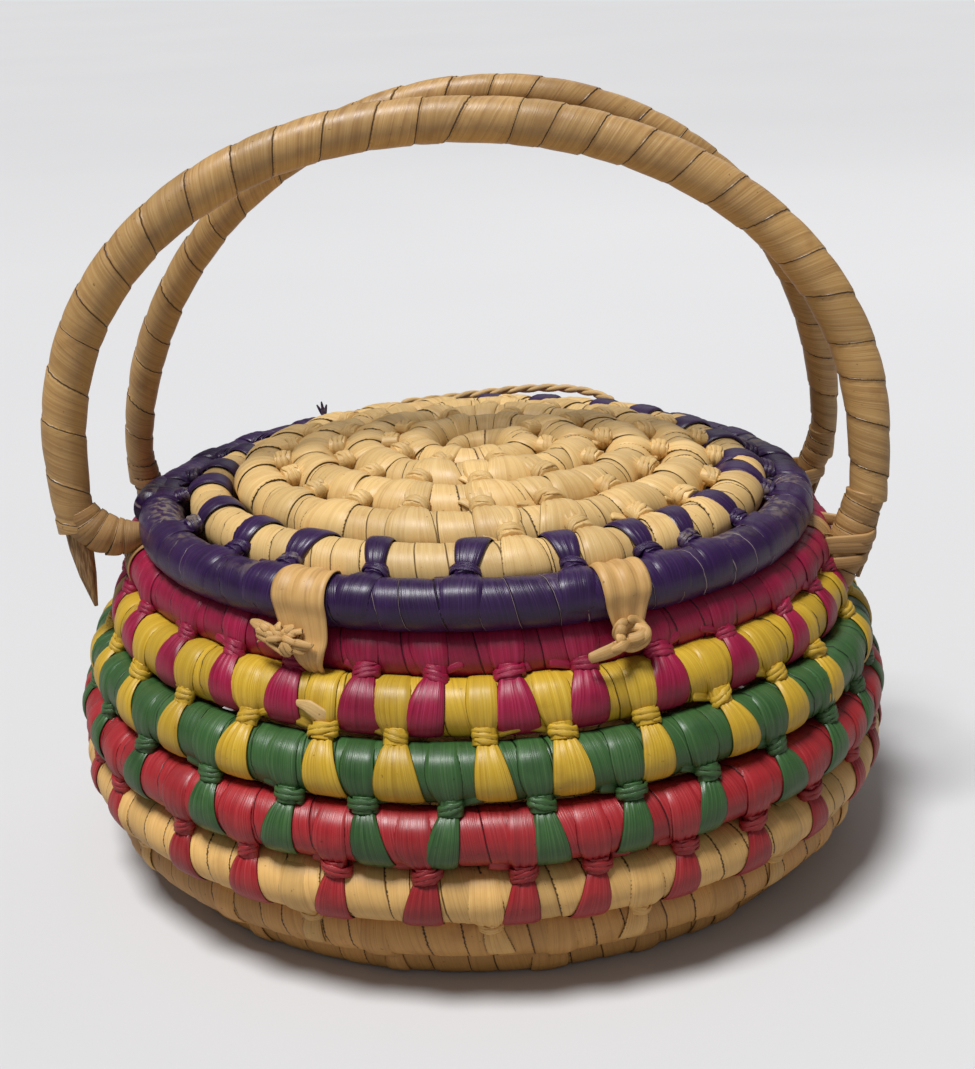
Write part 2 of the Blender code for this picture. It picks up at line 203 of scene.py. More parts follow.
# Most strands turn back into the tangle, and every fourth one ends loose
tangle_loose_every = 4
tangle_loose_reach = 1.35
tangle_turned_reach = 0.35
tangle_arch = 0.0014
tangle_widths = (0.0010, 0.0017, 0.0014, 0.0005)
tangle_thickness = 0.0006
left_tail_spots = ((-0.0046, 0.58, 0.0016), (-0.0130, 0.80, 0.0020))
left_tail_arch = 0.001
left_tail_widths = (0.0022, 0.0030, 0.0026, 0.0010)
left_tail_thickness = 0.0008

# The right tie's neat knot, with one long tail
neat_spot = (-0.0008, 0.50, 0.0016)
neat_turns = 3
neat_steps = 8
neat_turn_step = 0.9
neat_half_width = 0.0034
neat_half_height = 0.0022
neat_pitch = 0.0009
neat_bulge = 0.0012
neat_lift = 0.0007
neat_widths = (0.0022, 0.0026, 0.0022)
neat_thickness = 0.0012
right_tail_spots = ((-0.0016, 0.30, 0.0022), (-0.0070, 0.16, 0.0034), (-0.0122, 0.02, 0.0030))
right_tail_widths = (0.0022, 0.0032, 0.0030, 0.0022)
right_tail_thickness = 0.0010
right_cover_arch = 0.0014
right_cover_widths = (0.0018, 0.0026, 0.0012)
right_cover_thickness = 0.0009

# Pull loop, as in the solids
loop_cord = 0.0024
loop_left_x = -0.0215
loop_right_x = 0.0405
loop_reach = 0.0085
loop_rise = 0.0010
loop_seat_angle = math.radians(55)
loop_peak_share = 2.0
loop_twist = 0.0125
loop_strand_share = 0.74
loop_strand_offset = 0.24
loop_strand_flatness = 0.85

# Feet of the handles: steps inward and heights from the pivot, with half thicknesses
foot_routes = {
    "front_left": (
        (0.0, 0.018, 0.0046), (0.0012, 0.0132, 0.0047), (0.0038, 0.0094, 0.0048),
        (0.0084, 0.0068, 0.0044), (0.0132, 0.0062, 0.0034), (0.0172, 0.0068, 0.0022),
    ),
    "front_right": (
        (0.0, 0.018, 0.0046), (0.0010, 0.0100, 0.0047), (0.0030, 0.0020, 0.0046),
        (0.0042, -0.0060, 0.0040), (0.0046, -0.0120, 0.0028), (0.0040, -0.0185, 0.0010),
    ),
    "rear_left": (
        (0.0, 0.018, 0.0034), (0.0006, 0.0110, 0.0034), (0.0020, 0.0040, 0.0032),
        (0.0040, -0.0030, 0.0024), (0.0060, -0.0080, 0.0012),
    ),
    "rear_right": (
        (0.0, 0.018, 0.0034), (0.0006, 0.0110, 0.0034), (0.0022, 0.0040, 0.0032),
        (0.0044, -0.0030, 0.0024), (0.0064, -0.0080, 0.0012),
    ),
}
foot_winding_width = 0.0042
foot_winding_lift = 0.0007
foot_wrap_step = wrap_step * 1.6
# The windings thicken from this share of their lift, over this share of their length
foot_thin_share = 0.3
foot_thin_length = 0.35
lashing_thickness = 0.0007
rim_strip_spacing = 0.0030
rim_strip_cover = 1.05
rim_strip_start = -80
rim_strip_sweep = 230
rim_strip_steps = 8

# Loops round the feet: heights, and a route as (outward, sideways), both in half thicknesses of
# the foot. An outward step below nought is a share of the way to the loop's end in the rim.
foot_loop_heights = (-0.0052, -0.0022, 0.0008)
foot_loop_lift = 0.0006
foot_loop_width = 0.0033
foot_loop_bury = 0.0040
foot_loop_slope = 0.0006
foot_loop_facing = 0.001
foot_loop_route = (
    (-1, -1.7), (-0.45, -1.25), (0.0, -1.0), (0.74, -0.70), (1, 0.0),
    (0.74, 0.70), (0.0, 1.0), (-0.45, 1.25), (-1, 1.7),
)

# Mesh fineness
coil_sides = 30
coil_step = 0.0009
stitch_long = 40
stitch_wide = 15
knot_stations = 40
ribbon_sides = 8
tie_long = 44
tie_wide = 19
loop_stations = 160
foot_stations = 70
# The windings start this many stations down the foot
foot_first_station = 11
leg_stations = 80
arch_stations = 200
spiral_search_step = 0.002

# Camera: focal length and frame in the photo's pixels
photo_width = 975
photo_height = 1069
focal_pixels = 1840.9
camera_place = Vector((0.0027, -0.4709, 0.2430))
camera_pitch = 0.3355
camera_roll = -0.0383
sensor_width = 36.0
# The photo shows less than half a turn to either side of the front
seen_share = 0.44
photo_samples = 2881
spot_shares = 881
spot_turns = (-60, 80, 57)

# Where each stitch's band crosses the coil that it lies on, in the photo's pixels
band_pixels = {
    "rim_row_pink": (
        (145, 626), (175, 650), (221, 672), (284, 692), (358, 709), (433, 707),
        (512, 707), (593, 699), (674, 686), (742, 664), (797, 634), (825, 610),
    ),
    "wall_row_yellow": (
        (131, 695), (173, 721), (235, 755), (314, 771), (391, 779), (487, 777),
        (569, 771), (659, 757), (738, 735), (797, 709), (833, 680), (859, 638),
    ),
    "wall_row_green": (
        (108, 733), (139, 771), (199, 812), (282, 830), (360, 842), (451, 848),
        (545, 840), (639, 824), (718, 806), (789, 777), (835, 739), (863, 709),
    ),
    "wall_row_red": (
        (119, 806), (181, 852), (246, 874), (334, 900), (427, 904), (526, 900),
        (599, 884), (686, 862), (754, 836), (811, 808), (853, 773),
    ),
    "wall_row_natural_upper": ((151, 852), (314, 924), (492, 935), (639, 916), (770, 862)),
    "lid_rim_purple": (
        (213, 480), (217, 511), (258, 533), (306, 551), (385, 555), (465, 555),
        (563, 551), (631, 533), (667, 520), (713, 502), (750, 475), (746, 463),
    ),
}
row_stitches = 31
fewer_stitches = {"wall_row_natural_upper": 15, "lid_rim_purple": 25}
same_stitch_share = 0.5
hidden_seed = 5
hidden_unevenness = 0.2
base_stitches = 15
base_stitch_start = 0.4
lid_stitch_spacing = 0.0165
base_stitch_spacing = 0.022
least_stitched_radius = 0.012
spiral_stitch_start = 1.02

# Small loose ends, in the photo's pixels
leaf_bit_pixels = ((294, 702), (308, 707), (322, 715), (334, 722))
leaf_bit_lifts = (0.0, 0.0012, 0.0010, 0.0002)
leaf_bit_widths = (0.0010, 0.0034, 0.0038, 0.0008)
leaf_bit_thickness = 0.0005
raffia_pixels = (
    ((828, 530), (823, 550), (820, 574)),
    ((842, 548), (834, 536), (822, 533)),
    ((842, 550), (832, 544), (820, 546)),
    ((841, 545), (835, 530), (828, 522)),
)
raffia_widths = (0.0016, 0.0005, 0.0005, 0.0005)
raffia_lifts = (0.0008, 0.0014, 0.0008, 0.0014)
raffia_end_shares = (0.6, 0.4)
raffia_thickness = 0.0004
# The tuft's strands: share of a turn, angle above outward, and which way they lean
tuft_strands = (
    (-0.412, 60, (-0.0018, 0.0004, 0.0026)),
    (-0.410, 68, (-0.0004, 0.0004, 0.0032)),
    (-0.408, 76, (0.0010, 0.0004, 0.0026)),
)
tuft_sink = -0.0006
tuft_tip_out = 0.0006
tuft_steps = (0.8, 1.5)
tuft_widths = (0.0014, 0.0012, 0.0004)
tuft_thickness = 0.0005

# Stitches. The route of one strip: which coil it lies on, the angle there, width and fullness.
# Angles are measured from straight out of the wall, towards the other coil.
stitch_route = (
    ("first", -118, 0.0070, -0.0007),
    ("first", -78, 0.0076, 0.0001),
    ("first", -34, 0.0082, 0.0004),
    ("first", 2, 0.0086, 0.0005),
    ("first", 34, 0.0076, 0.0009),
    ("first", 57, 0.0058, 0.0015),
    ("groove", 0, 0.0046, 0.0020),
    ("second", 62, 0.0040, 0.0014),
    ("second", 34, 0.0058, 0.0009),
    ("second", 0, 0.0074, 0.0007),
    ("second", -35, 0.0084, 0.0007),
    ("second", -68, 0.0086, 0.0006),
    ("second", -100, 0.0082, -0.0003),
)
short_route = stitch_route[:9] + (
    ("second", 16, 0.0064, 0.0008),
    ("second", -2, 0.0066, 0.0005),
    ("second", -16, 0.0060, -0.0004),
)
natural_stitch_size = 0.82
lid_stitch_size = 1.12
base_stitch_size = 0.8
lid_rim_stitch_size = 0.95
lid_rim_stitch_raise = 0.0005
groove_height_share = 0.52
lid_groove_share = 0.60
# Chance gives each strip a share of its width, as (least, how much more), a lean and a flare
band_width_share = (0.88, 0.26)
band_lean = 0.17
band_lean_before = (-0.05, 0.5)
band_flare = 0.05
band_flare_from = 0.3
raise_steps = 2
unraise_steps = 1.5
# A strip rounds towards its edges, and gathers over this many steps before and after the knot
open_edge_share = 0.62
gathered_edge_share = 0.35
gather_before = 2.6
gather_after = 2.3
gather_depth = 0.00058
gather_folds = 1.6
chance_turn = 6
strip_edge_power = 6
strip_sink = 0.00012
strip_half = 0.492

# Knots: turns round the neck in the groove, the neck, and a fold that runs in from one side
knot_at = 6
knot_half_width = 0.0029
knot_half_depth = 0.0021
knot_turns = 2.3
knot_pitch = 0.0011
knot_lift = 0.0007
knot_grow = (0.85, 0.35)
knot_aside = 0.0004
knot_tilt = 0.0022
knot_ribbon_width = 0.0017
knot_ribbon_thickness = 0.0008
knot_ribbon_wave = (0.9, 0.3)
knot_ribbon_waves = 5
neck_length = 0.0044
neck_facing = 0.01
# Strips count on from these, so that necks and folds have tones of their own
neck_number = 200
fold_number = 100
fold_left_share = 0.72
fold_length = 0.0062
fold_width = 0.0036
fold_thickness = 0.0013
fold_climb = 0.0030
fold_length_share = (0.7, 0.6)
fold_climb_share = (0.8, 0.4)
fold_climb_power = 0.8
fold_width_share = (0.8, 0.4)
fold_taper = (1.15, -0.5)
fold_end_share = 0.14
fold_sink = 0.0009
fold_sink_power = 1.5
fold_facing = 0.001
ribbon_end_stations = 2.5
ribbon_end_least = 0.0004
ribbon_half = 0.46
near_floor = 0.02

# Leaf colours from 0 to 255: plain, deep, pale and edge, which is the dark of specks and of the painted
# crease shade along each wrap's edge, then roughness and what else it shows
leaf_table = {
    "leaf_tan": ((206, 154, 86), (164, 112, 58), (228, 184, 120), (74, 44, 24), 0.52, {"dashes": 0.9}),
    "leaf_cream": ((222, 186, 122), (188, 144, 82), (240, 212, 156), (96, 62, 32), 0.46, {"dashes": 0.9}),
    "wall_cream": ((226, 180, 108), (190, 140, 76), (242, 208, 144), (92, 58, 28), 0.46, {"dashes": 0.9}),
    "leaf_red": ((162, 34, 40), (112, 14, 22), (196, 84, 86), (44, 6, 10), 0.38, {}),
    "leaf_green": ((54, 92, 46), (28, 58, 28), (104, 134, 88), (10, 24, 12), 0.38, {}),
    "leaf_yellow": ((200, 162, 42), (156, 116, 22), (226, 198, 92), (82, 54, 12), 0.42, {}),
    "leaf_pink": ((152, 10, 58), (100, 3, 34), (190, 58, 104), (44, 2, 16), 0.42, {}),
    "leaf_purple": (
        (44, 14, 66), (22, 6, 38), (84, 54, 108), (14, 7, 20), 0.36, {"dust": 0.75, "pale_edges": 0.85},
    ),
    "handle_leaf": (
        (188, 148, 92), (140, 98, 54), (218, 184, 128), (62, 36, 18), 0.42,
        {"dashes": 0.3, "edge_width": 0.016},
    ),
    "foot_leaf": ((172, 132, 80), (128, 88, 48), (202, 164, 110), (56, 32, 16), 0.5, {}),
    "tie_leaf": ((206, 162, 98), (164, 120, 66), (228, 194, 134), (88, 56, 28), 0.5, {}),
    "twisted_cord": ((206, 170, 114), (160, 122, 74), (230, 200, 148), (80, 54, 30), 0.62, {}),
}
worn_colour = (172, 152, 156)
dash_colour = (38, 26, 18)
dust_colour = (126, 112, 98)
stem_colours = ((118, 86, 54), (182, 148, 104))
# How far in from a wrap's edge its painted crease shade reaches, as a share of the wrap
leaf_edge_width = 0.022
leaf_sheen = 0.55
leaf_relief = 0.00028
stem_relief = 0.0003
# Patterns across and along a strip, and all over the piece: scale and detail
fibres_across = 30.0
fibre_detail = 3.0
streaks_across = 9.0
crease_shade_breaks_along = 9.0
dashes_along = 60.0
dash_layer = 3.0
blotch_noise = (130.0, 4.0)
speck_noise = (900.0, 2.0)
dust_noise = (520.0, 6.0)
dust_patch_noise = (22.0, 2.0)
stem_noise = (1500.0, 4.0)
floor_noise = (3.0, 2.0)
stem_stretch = (1.0, 1.0, 0.15)
crease_shade_core_share = 0.35
groove_width_share = 1.6
fibre_height = 0.32
blotch_height = 0.4
# Ramps of these patterns: from, to, and the shares that these give
streak_ramp = (0.25, 0.62, 0.55, 1.0)
pale_fibre_ramp = (0.46, 0.72, 0.0, 0.34)
deep_fibre_ramp = (0.30, 0.46, 0.42, 0.0)
strip_tone_ramp = (0.0, 1.0, 0.88, 1.10)
blotch_ramp = (0.52, 0.74, 0.0, 0.4)
speck_ramp = (0.71, 0.78, 0.0, 0.55)
crease_shade_break_ramp = (0.3, 0.55, 0.72, 0.97)
worn_ramp = (0.35, 0.45)
dash_ramp = (0.52, 0.56)
dash_side_ramp = (0.02, 0.055, 1.0, 0.0)
dashed_strip_ramp = (0.55, 0.6)
dust_ramp = (0.42, 0.60)
dust_height_ramp = (0.10, 0.26)
dust_patch_ramp = (0.42, 0.58)
dusty_roughness = 0.9
rough_ramp = (0.3, 0.7)
rough_less = 0.06
rough_more = 0.08
stem_ramp = (0.35, 0.68)
stem_rough_ramp = (0.3, 0.7, 0.7, 0.9)

# Stage
floor_reach = 12.0
floor_colour = (0.61, 0.61, 0.62, 1.0)
floor_pale = (0.65, 0.65, 0.655, 1.0)
floor_bounce = (0.40, 0.38, 0.36, 1.0)
floor_roughness = 0.8
floor_sheen = 0.1
backdrop_colour = (0.77, 0.77, 0.78, 1.0)
world_colour = (226, 226, 230)
world_strength = 0.19
basket_middle_height = 0.08
# Lamps: kind, place, power and size
lamps = {
    "key": ("SUN", (-0.26, -0.24, 1.20), 3.45, 0.34),
    "front": ("AREA", (0.15, -1.0, 0.45), 0.4, 0.8),
    "back": ("AREA", (0.3, 0.9, 0.8), 1.2, 0.8),
}

# Angles start at the right, shares of a turn at the front
quarter_turn = 0.25
straight_up = np.array([0.0, 0.0, 1.0])
no_place = Matrix.Identity(4)


# Small sums


def colour(red, green, blue):
    """A colour as it is seen, from 0 to 255, turned into what the shader takes."""
    seen = np.array([red, green, blue]) / 255
    return tuple(np.where(seen < 0.04045, seen / 12.92, ((seen + 0.055) / 1.055) ** 2.4)) + (1.0,)


def scatter(number, seed):
    """A repeatable value between nought and one for each whole number."""
    return (np.sin(number * 12.9898 + seed * 78.233) * 43758.5453) % 1.0


def spread(least_and_more, chance):
    least, more = least_and_more
    return least + more * chance


def chances(count, seed, axes):
    """A function from a number to one repeatable value for each of some pieces."""
    return lambda number: scatter(np.arange(count), seed + number).reshape((count,) + (1,) * axes)


def unit_rows(vectors):
    return vectors / np.linalg.norm(vectors, axis=-1, keepdims=True)


def outward_at(angle):
    return np.array([math.cos(angle), math.sin(angle), 0.0])


def tilted(outward, turn):
    """A level direction turned up by an angle."""
    return outward * math.cos(turn) + straight_up * math.sin(turn)


def carried(points, place):
    """Points moved from a body's own frame into the shared one."""
    return points @ np.array(place.to_3x3()).T + np.array(place.translation)


def lengths_along(path):
    return np.concatenate([[0], np.cumsum(np.linalg.norm(np.diff(path, axis=0), axis=1))])


def spline_weights(count, controls):
    """Weights that carry a smooth curve through every control value."""
    weights = np.zeros((count, controls))
    for row, value in enumerate(np.linspace(0, controls - 1, count)):
        k = min(int(value), controls - 2)
        s = value - k
        basis = (
            (-s + 2 * s**2 - s**3) / 2,
            (2 - 5 * s**2 + 3 * s**3) / 2,
            (s + 4 * s**2 - 3 * s**3) / 2,
            (-(s**2) + s**3) / 2,
        )
        for offset, weight in zip((-1, 0, 1, 2), basis):
            weights[row, min(max(k + offset, 0), controls - 1)] += weight
    return weights


def smooth_curve(count, controls):
    return spline_weights(count, len(controls)) @ np.array(controls)


# Camera


def camera_axes():
    forward = Vector((0, math.cos(camera_pitch), -math.sin(camera_pitch)))
    level_up = Vector((0, math.sin(camera_pitch), math.cos(camera_pitch)))
    across = Vector((1, 0, 0))
    right = across * math.cos(camera_roll) + level_up * math.sin(camera_roll)
    up = level_up * math.cos(camera_roll) - across * math.sin(camera_roll)
    return right, up, forward


def project(points):
    """Points in the frame to pixels of the photo."""
    right, up, forward = [np.array(axis) for axis in camera_axes()]
    offset = points - np.array(camera_place)
    depth = offset @ forward
    x = photo_width / 2 + focal_pixels * (offset @ right) / depth
    y = photo_height / 2 - focal_pixels * (offset @ up) / depth
    return np.stack([x, y], axis=-1)


def build_camera():
    right, up, forward = camera_axes()
    data = bpy.data.cameras.new("camera")
    data.sensor_width = sensor_width
    data.lens = focal_pixels * sensor_width / photo_height
    made = bpy.data.objects.new("camera", data)
    turn = Matrix((right, up, -forward)).transposed().to_4x4()
    made.matrix_world = Matrix.Translation(camera_place) @ turn
    bpy.context.scene.collection.objects.link(made)
    bpy.context.scene.camera = made


# Where the coils run: a place on a ring or spiral is a share of a turn that starts at the front


def wobble(share, seed, size):
    """A slow, closed unevenness along a coil."""
    waves = 0.0
    for count, weight in wobble_waves:
        waves = waves + weight * np.sin(math.tau * (count * share + wobble_phase * seed * count))
    return size * waves / 2


def climb(pitch, first_radius, second_radius):
    return math.sqrt(pitch**2 - (second_radius - first_radius) ** 2)


def wall_rows():
    """Each row's radius, height and coil diameter, by name."""
    found = {}
    radius = base_radius
    height = wall_coil / 2 * flat_side_share
    below = wall_coil
    for name, step_out, diameter, _ in row_plan:
        pitch = (below + diameter) / 2 + row_gap
        height += climb(pitch, radius, radius + step_out)
        radius += step_out
        below = diameter
        found[name] = (radius, height, diameter)
    return found


rows = wall_rows()
rim_radius, rim_height = rows["rim_row_pink"][:2]
rim_edge_radius = rim_radius + rim_coil / 2
rim_pitch = (wall_coil + rim_coil) / 2 + row_gap
handle_pivot_height = rim_height + handle_pivot_above_rim
lid_rim_radius = rim_radius - lid_inset_from_rim
lid_front_radius = lid_rim_radius + lid_set_forward
lid_front_height = rim_height + climb(rim_coil + seat_gap, lid_front_radius, rim_radius)
lid_height = lid_front_height - lid_rim_radius * math.sin(lid_tilt)
lid_centre = Vector((0, -lid_set_forward, lid_height))
lid_place = Matrix.Translation(lid_centre) @ Matrix.Rotation(-lid_tilt, 4, "X")
lid_outer_turn = lid_rim_radius - (rim_coil + lid_coil) / 2 - seat_gap
# The lid's coils and stitches are worked out in its own tilted frame
coil_places = {"lid": lid_place}


def around(share, radius, height):
    """Points on circles round the upright axis. Share nought is the front."""
    angle = math.tau * share - math.pi / 2
    return np.stack([radius * np.cos(angle), radius * np.sin(angle), height + 0 * angle], axis=-1)


def dome(radius):
    return lid_dome_height * (1 - (radius / lid_rim_radius) ** lid_dome_power_share)


def smooth_between(share, shares, values):
    """Values between given places, eased so that a coil has no kink there."""
    index = np.clip(np.searchsorted(shares, share, side="right") - 1, 0, len(shares) - 2)
    first = np.asarray(shares)[index]
    last = np.asarray(shares)[index + 1]
    part = (share - first) / (last - first)
    part = part * part * (3 - 2 * part)
    return np.asarray(values)[index] * (1 - part) + np.asarray(values)[index + 1] * part


def lid_rim_middle(angle):
    """The middle of the lid's rim above the vertical plane through the origin at an angle."""
    outward = np.stack([np.cos(angle), np.sin(angle)], axis=-1)
    centre = np.array(lid_centre[:2])
    along = outward @ centre
    away = np.sqrt(lid_rim_radius**2 - centre @ centre + along**2)
    flat = outward * (along + away)[..., None]
    height = lid_centre.z - math.tan(lid_tilt) * (flat[..., 1] - centre[1])
    return np.concatenate([flat, height[..., None]], axis=-1)


def ring_line(name):
    """A row as a function from shares to (radius, height, half thickness)."""
    radius, height, diameter = rows[name]
    seed = list(rows).index(name) + 1

    def line(share):
        share = np.asarray(share, dtype=float)
        back = np.zeros(share.shape)
        lifted = smooth_between(share % 1.0, lift_places, lift_share)
        rise = front_lifts.get(name, 0.0) * lifted
        if name == "wall_row_natural_lower":
            back = back + lowest_row_back
            rise = rise + lowest_row_lift
        if name == "rim_row_pink":
            back = smooth_between(share % 1.0, pink_shares, pink_set_back)
            rise = front_lifts["wall_row_yellow"] * lifted + np.sqrt(rim_pitch**2 - back**2) - rim_pitch
            # Squeezed between the yellow row and the lid's rim, it gives way to both
            lid_middle = lid_rim_middle(math.tau * share - math.pi / 2)
            beside = np.hypot(lid_middle[..., 0], lid_middle[..., 1]) - (radius - back)
            below_lid = lid_middle[..., 2] - np.sqrt((rim_coil + seat_gap) ** 2 - beside**2)
            rise = (rise + np.minimum(rise, below_lid - height)) / 2
        return (
            radius - back + wobble(share, seed, coil_wobble),
            height + rise + wobble(share, seed + height_seed_step, coil_wobble * height_wobble_share),
            np.full(share.shape, diameter / 2 + coil_fullness),
        )

    return line


def lid_rim_line(share):
    share = np.asarray(share, dtype=float)
    radius_seed, height_seed = lid_rim_seeds
    return (
        lid_rim_radius + wobble(share, radius_seed, coil_wobble * height_wobble_share),
        wobble(share, height_seed, coil_wobble * height_wobble_share),
        np.full(share.shape, rim_coil / 2),
    )


def overlap_line(share):
    """The end of the lid's rim, blunt towards the front and thinning behind."""
    along = (share - share[0]) / (share[-1] - share[0])
    bulge = np.sin(math.pi * np.clip(along, 0, overlap_blunt_at) * overlap_bulge)
    return lid_rim_radius + overlap_out, overlap_up, overlap_half * bulge**overlap_power


def step_inward(share):
    s = np.clip((share - step_start_share) / step_length_share, 0, 1)
    return s * s * (3 - 2 * s)


def spiral_turns(outer_radius, diameter):
    """Each turn's radius at the front and half its thickness, from outside inward."""
    half = diameter / 2
    turns = [(outer_radius + diameter + turn_gap, half), (outer_radius, half)]
    while True:
        radius, half = turns[-1]
        room = radius - half - turn_gap
        if room < spiral_eye_radius:
            return np.array(turns)
        half = min(diameter / 2, room * inner_turn_share)
        turns.append((room - half, half))


def spiral_line(outer_radius, diameter, height_of, seed):
    """One unbroken coil that steps inward once a turn, as a function of turns from its thin end."""
    turns = spiral_turns(outer_radius, diameter)
    bound = outer_radius + diameter / 2

    def line(share):
        share = np.asarray(share, dtype=float)
        number = np.clip(np.floor(share).astype(int), 0, len(turns) - 2)
        inward = step_inward(np.clip(share - number, 0, 1))
        radius = turns[number, 0] + (turns[number + 1, 0] - turns[number, 0]) * inward
        half = turns[number, 1] + (turns[number + 1, 1] - turns[number, 1]) * inward
        inner_edge = radius - half
        wedge = np.maximum((bound - turn_gap - inner_edge) / 2, diameter * thin_end_share)
        thin = radius > outer_radius
        half = np.where(thin, wedge, half)
        radius = np.where(thin, inner_edge + half, radius)
        height = height_of(radius, half)
        # The innermost turn keeps clear of its own eye, so only the height is uneven
        return radius, height + wobble(share, seed, coil_wobble * spiral_wobble_share), half

    first = step_start_share
    while line(first)[2] <= diameter * thin_end_share:
        first += spiral_search_step
    return line, first, len(turns) - 1.0


lid_line, lid_first, lid_last = spiral_line(
    lid_outer_turn, lid_coil, lambda radius, half: dome(radius), lid_spiral_seed
)
base_line, base_first, base_last = spiral_line(
    base_radius, wall_coil, lambda radius, half: half * flat_side_share, base_spiral_seed
)


def outer_share(share):
    """The turns from a spiral's thin end to its outermost full coil at a place on the ring."""
    within = np.asarray(share, dtype=float) % 1.0
    return np.where(step_inward(within) > 0.5, within, within + 1.0)


def base_edge_line(share):
    return base_line(outer_share(share))


def lid_edge_line(share):
    return lid_line(outer_share(share))


def spiral_shares(line, last, spacing):
    """Places for the stitches between the turns of a spiral, at an even spacing along it."""
    shares = [spiral_stitch_start]
    while shares[-1] < last - spiral_stitch_start and line(shares[-1] + 1)[0] > least_stitched_radius:
        radius = float(line(shares[-1] + 0.5)[0])
        shares.append(shares[-1] + spacing / (math.tau * radius))
    return np.array(shares[:-1])


def shares_in_photo(name, line, facing, place=no_place):
    """Shares of a turn where the photo shows a row's bands lie on the next coil's line."""
    share = np.linspace(-0.5, 0.5, photo_samples)[:-1]
    radius, height, half = line(share)
    outer = around(share, radius + half * facing[0], height + half * facing[1])
    seen = project(carried(outer, place))
    seen[np.abs(share) > seen_share] = np.inf
    per_turn = fewer_stitches.get(name, row_stitches)
    found = []
    for pixel in band_pixels[name]:
        found.append(share[np.argmin(np.linalg.norm(seen - np.array(pixel), axis=1))])
    found = np.sort(np.array(found))
    keep = np.concatenate([[True], np.diff(found) > same_stitch_share / per_turn])
    found = found[keep]
    # Round the back, where the photo shows nothing, they are filled up evenly
    behind = 1 - (found[-1] - found[0])
    missing = max(round(behind * per_turn), 1)
    filled = found[-1] + behind * np.arange(1, missing) / missing
    chance = scatter(np.arange(len(filled)), hidden_seed) - 0.5
    return np.concatenate([found, filled + chance * hidden_unevenness / per_turn])


def coil_spot(line, share, turn, lift, place=no_place):
    """A point just off a coil at an angle above outward, and the direction out of the coil there."""
    radius, height, half = line(share)
    reach = half + lift
    point = around(share, radius + reach * np.cos(turn), height + reach * np.sin(turn))
    out = around(share, np.cos(turn), np.sin(turn))
    return carried(point, place), out @ np.array(place.to_3x3()).T


def spot_in_photo(line, pixel, lift):
    """The place on a coil that the photo shows at a pixel."""
    share = np.linspace(-seen_share, seen_share, spot_shares)[:, None]
    turn = np.radians(np.linspace(*spot_turns))[None, :]
    share, turn = np.broadcast_arrays(share, turn)
    point, out = coil_spot(line, share, turn, lift)
    away = np.linalg.norm(project(point) - np.array(pixel), axis=-1)
    best = np.unravel_index(np.argmin(away), away.shape)
    return point[best], out[best]


# Meshes


def grid_object(
    name, points, uv, finish, body, place=no_place, closed=False, rounded=False, flip=False
):
    """Patches of quads: points[patch, i, j], with one more uv row or column where the grid closes."""
    patches, m, n = points.shape[:3]
    i, j = np.meshgrid(
        np.arange(m if closed else m - 1), np.arange(n if rounded else n - 1), indexing="ij"
    )
    corners = [(i, j), (i + 1, j), (i + 1, j + 1), (i, j + 1)]
    if flip:
        corners.reverse()
    one_face = np.stack([(a % m) * n + b % n for a, b in corners], axis=-1).reshape(-1, 4)
    one_uv = np.stack([uv[:, a, b] for a, b in corners], axis=3)
    faces = (one_face[None] + np.arange(patches)[:, None, None] * m * n).reshape(-1, 4)
    mesh = bpy.data.meshes.new(name)
    mesh.from_pydata(carried(points.reshape(-1, 3), place).tolist(), [], faces.tolist())
    mesh.uv_layers.new(name="strip").data.foreach_set("uv", one_uv.reshape(-1).astype(np.float32))
    mesh.shade_smooth()
    mesh.materials.append(finish)
    made = bpy.data.objects.new(name, mesh)
    bpy.context.scene.collection.objects.link(made)
    # A piece that lies between two bodies rides on neither
    if body:
        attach(made, body)
    return made


def wraps_along(lengths, width, seed):
    """How many wraps of leaf lie before each point, with uneven widths."""
    total = lengths[-1]
    count = max(round(total / width), least_wraps)
    edges = np.arange(count + 1, dtype=float)
    edges[1:-1] += (scatter(edges[1:-1], seed) - 0.5) * wrap_unevenness
    return np.interp(lengths, edges / count * total, np.arange(count + 1.0))


def wound_tube(name, path, side, up, half, width, step, finish, body, seed, closed=False):
    """A tube wound with a strip of leaf whose edges step up a little, one turn after another."""
    lengths = lengths_along(np.concatenate([path, path[:1]]) if closed else path)
    wraps = wraps_along(lengths, width, seed)
    turn = np.linspace(-0.5, 0.5, coil_sides + 1)
    u = wraps[:, None] + turn[None, :]
    v = np.broadcast_to(turn[None, :], u.shape)
    part = u % 1.0
    relief = step * (relief_start - part + relief_bulge * np.sin(math.pi * part) * part)
    relief += step * relief_unevenness * (scatter(np.floor(u), seed + 3) - 0.5)
    thin = np.minimum(half[:, None] / full_relief_radius, 1)
    radius = half[:, None] + relief[: len(path), :coil_sides] * thin
    angle = math.tau * turn[None, :coil_sides]
    out = np.cos(angle)[..., None] * side[:, None, :] + np.sin(angle)[..., None] * up[:, None, :]
    points = path[:, None, :] + radius[..., None] * out
    if body == "root":
        points[..., 2] = np.maximum(points[..., 2], 0.0)
    uv = np.stack([u, v], axis=-1)[None]
    place = coil_places.get(body, no_place)
    return grid_object(name, points[None], uv, finish, body, place, closed, rounded=True)


def wind_line(name, share, line, width, finish, body, seed, closed=False):
    """A wound coil along a line. One that isn't closed ends in a point inside the work."""
    radius, height, half = line(share)
    if not closed:
        half = half.copy()
        half[0] = half[-1] = 0.0
    path = around(share, radius, height)
    side = around(share, np.ones(len(share)), 0.0)
    up = np.broadcast_to(straight_up, side.shape)
    return wound_tube(name, path, side, up, half, width, wrap_step, finish, body, seed, closed)


def wind_ring(name, line, width, finish, body, seed):
    count = int(math.tau * line(0.0)[0] / coil_step)
    return wind_line(name, np.arange(count) / count, line, width, finish, body, seed, closed=True)


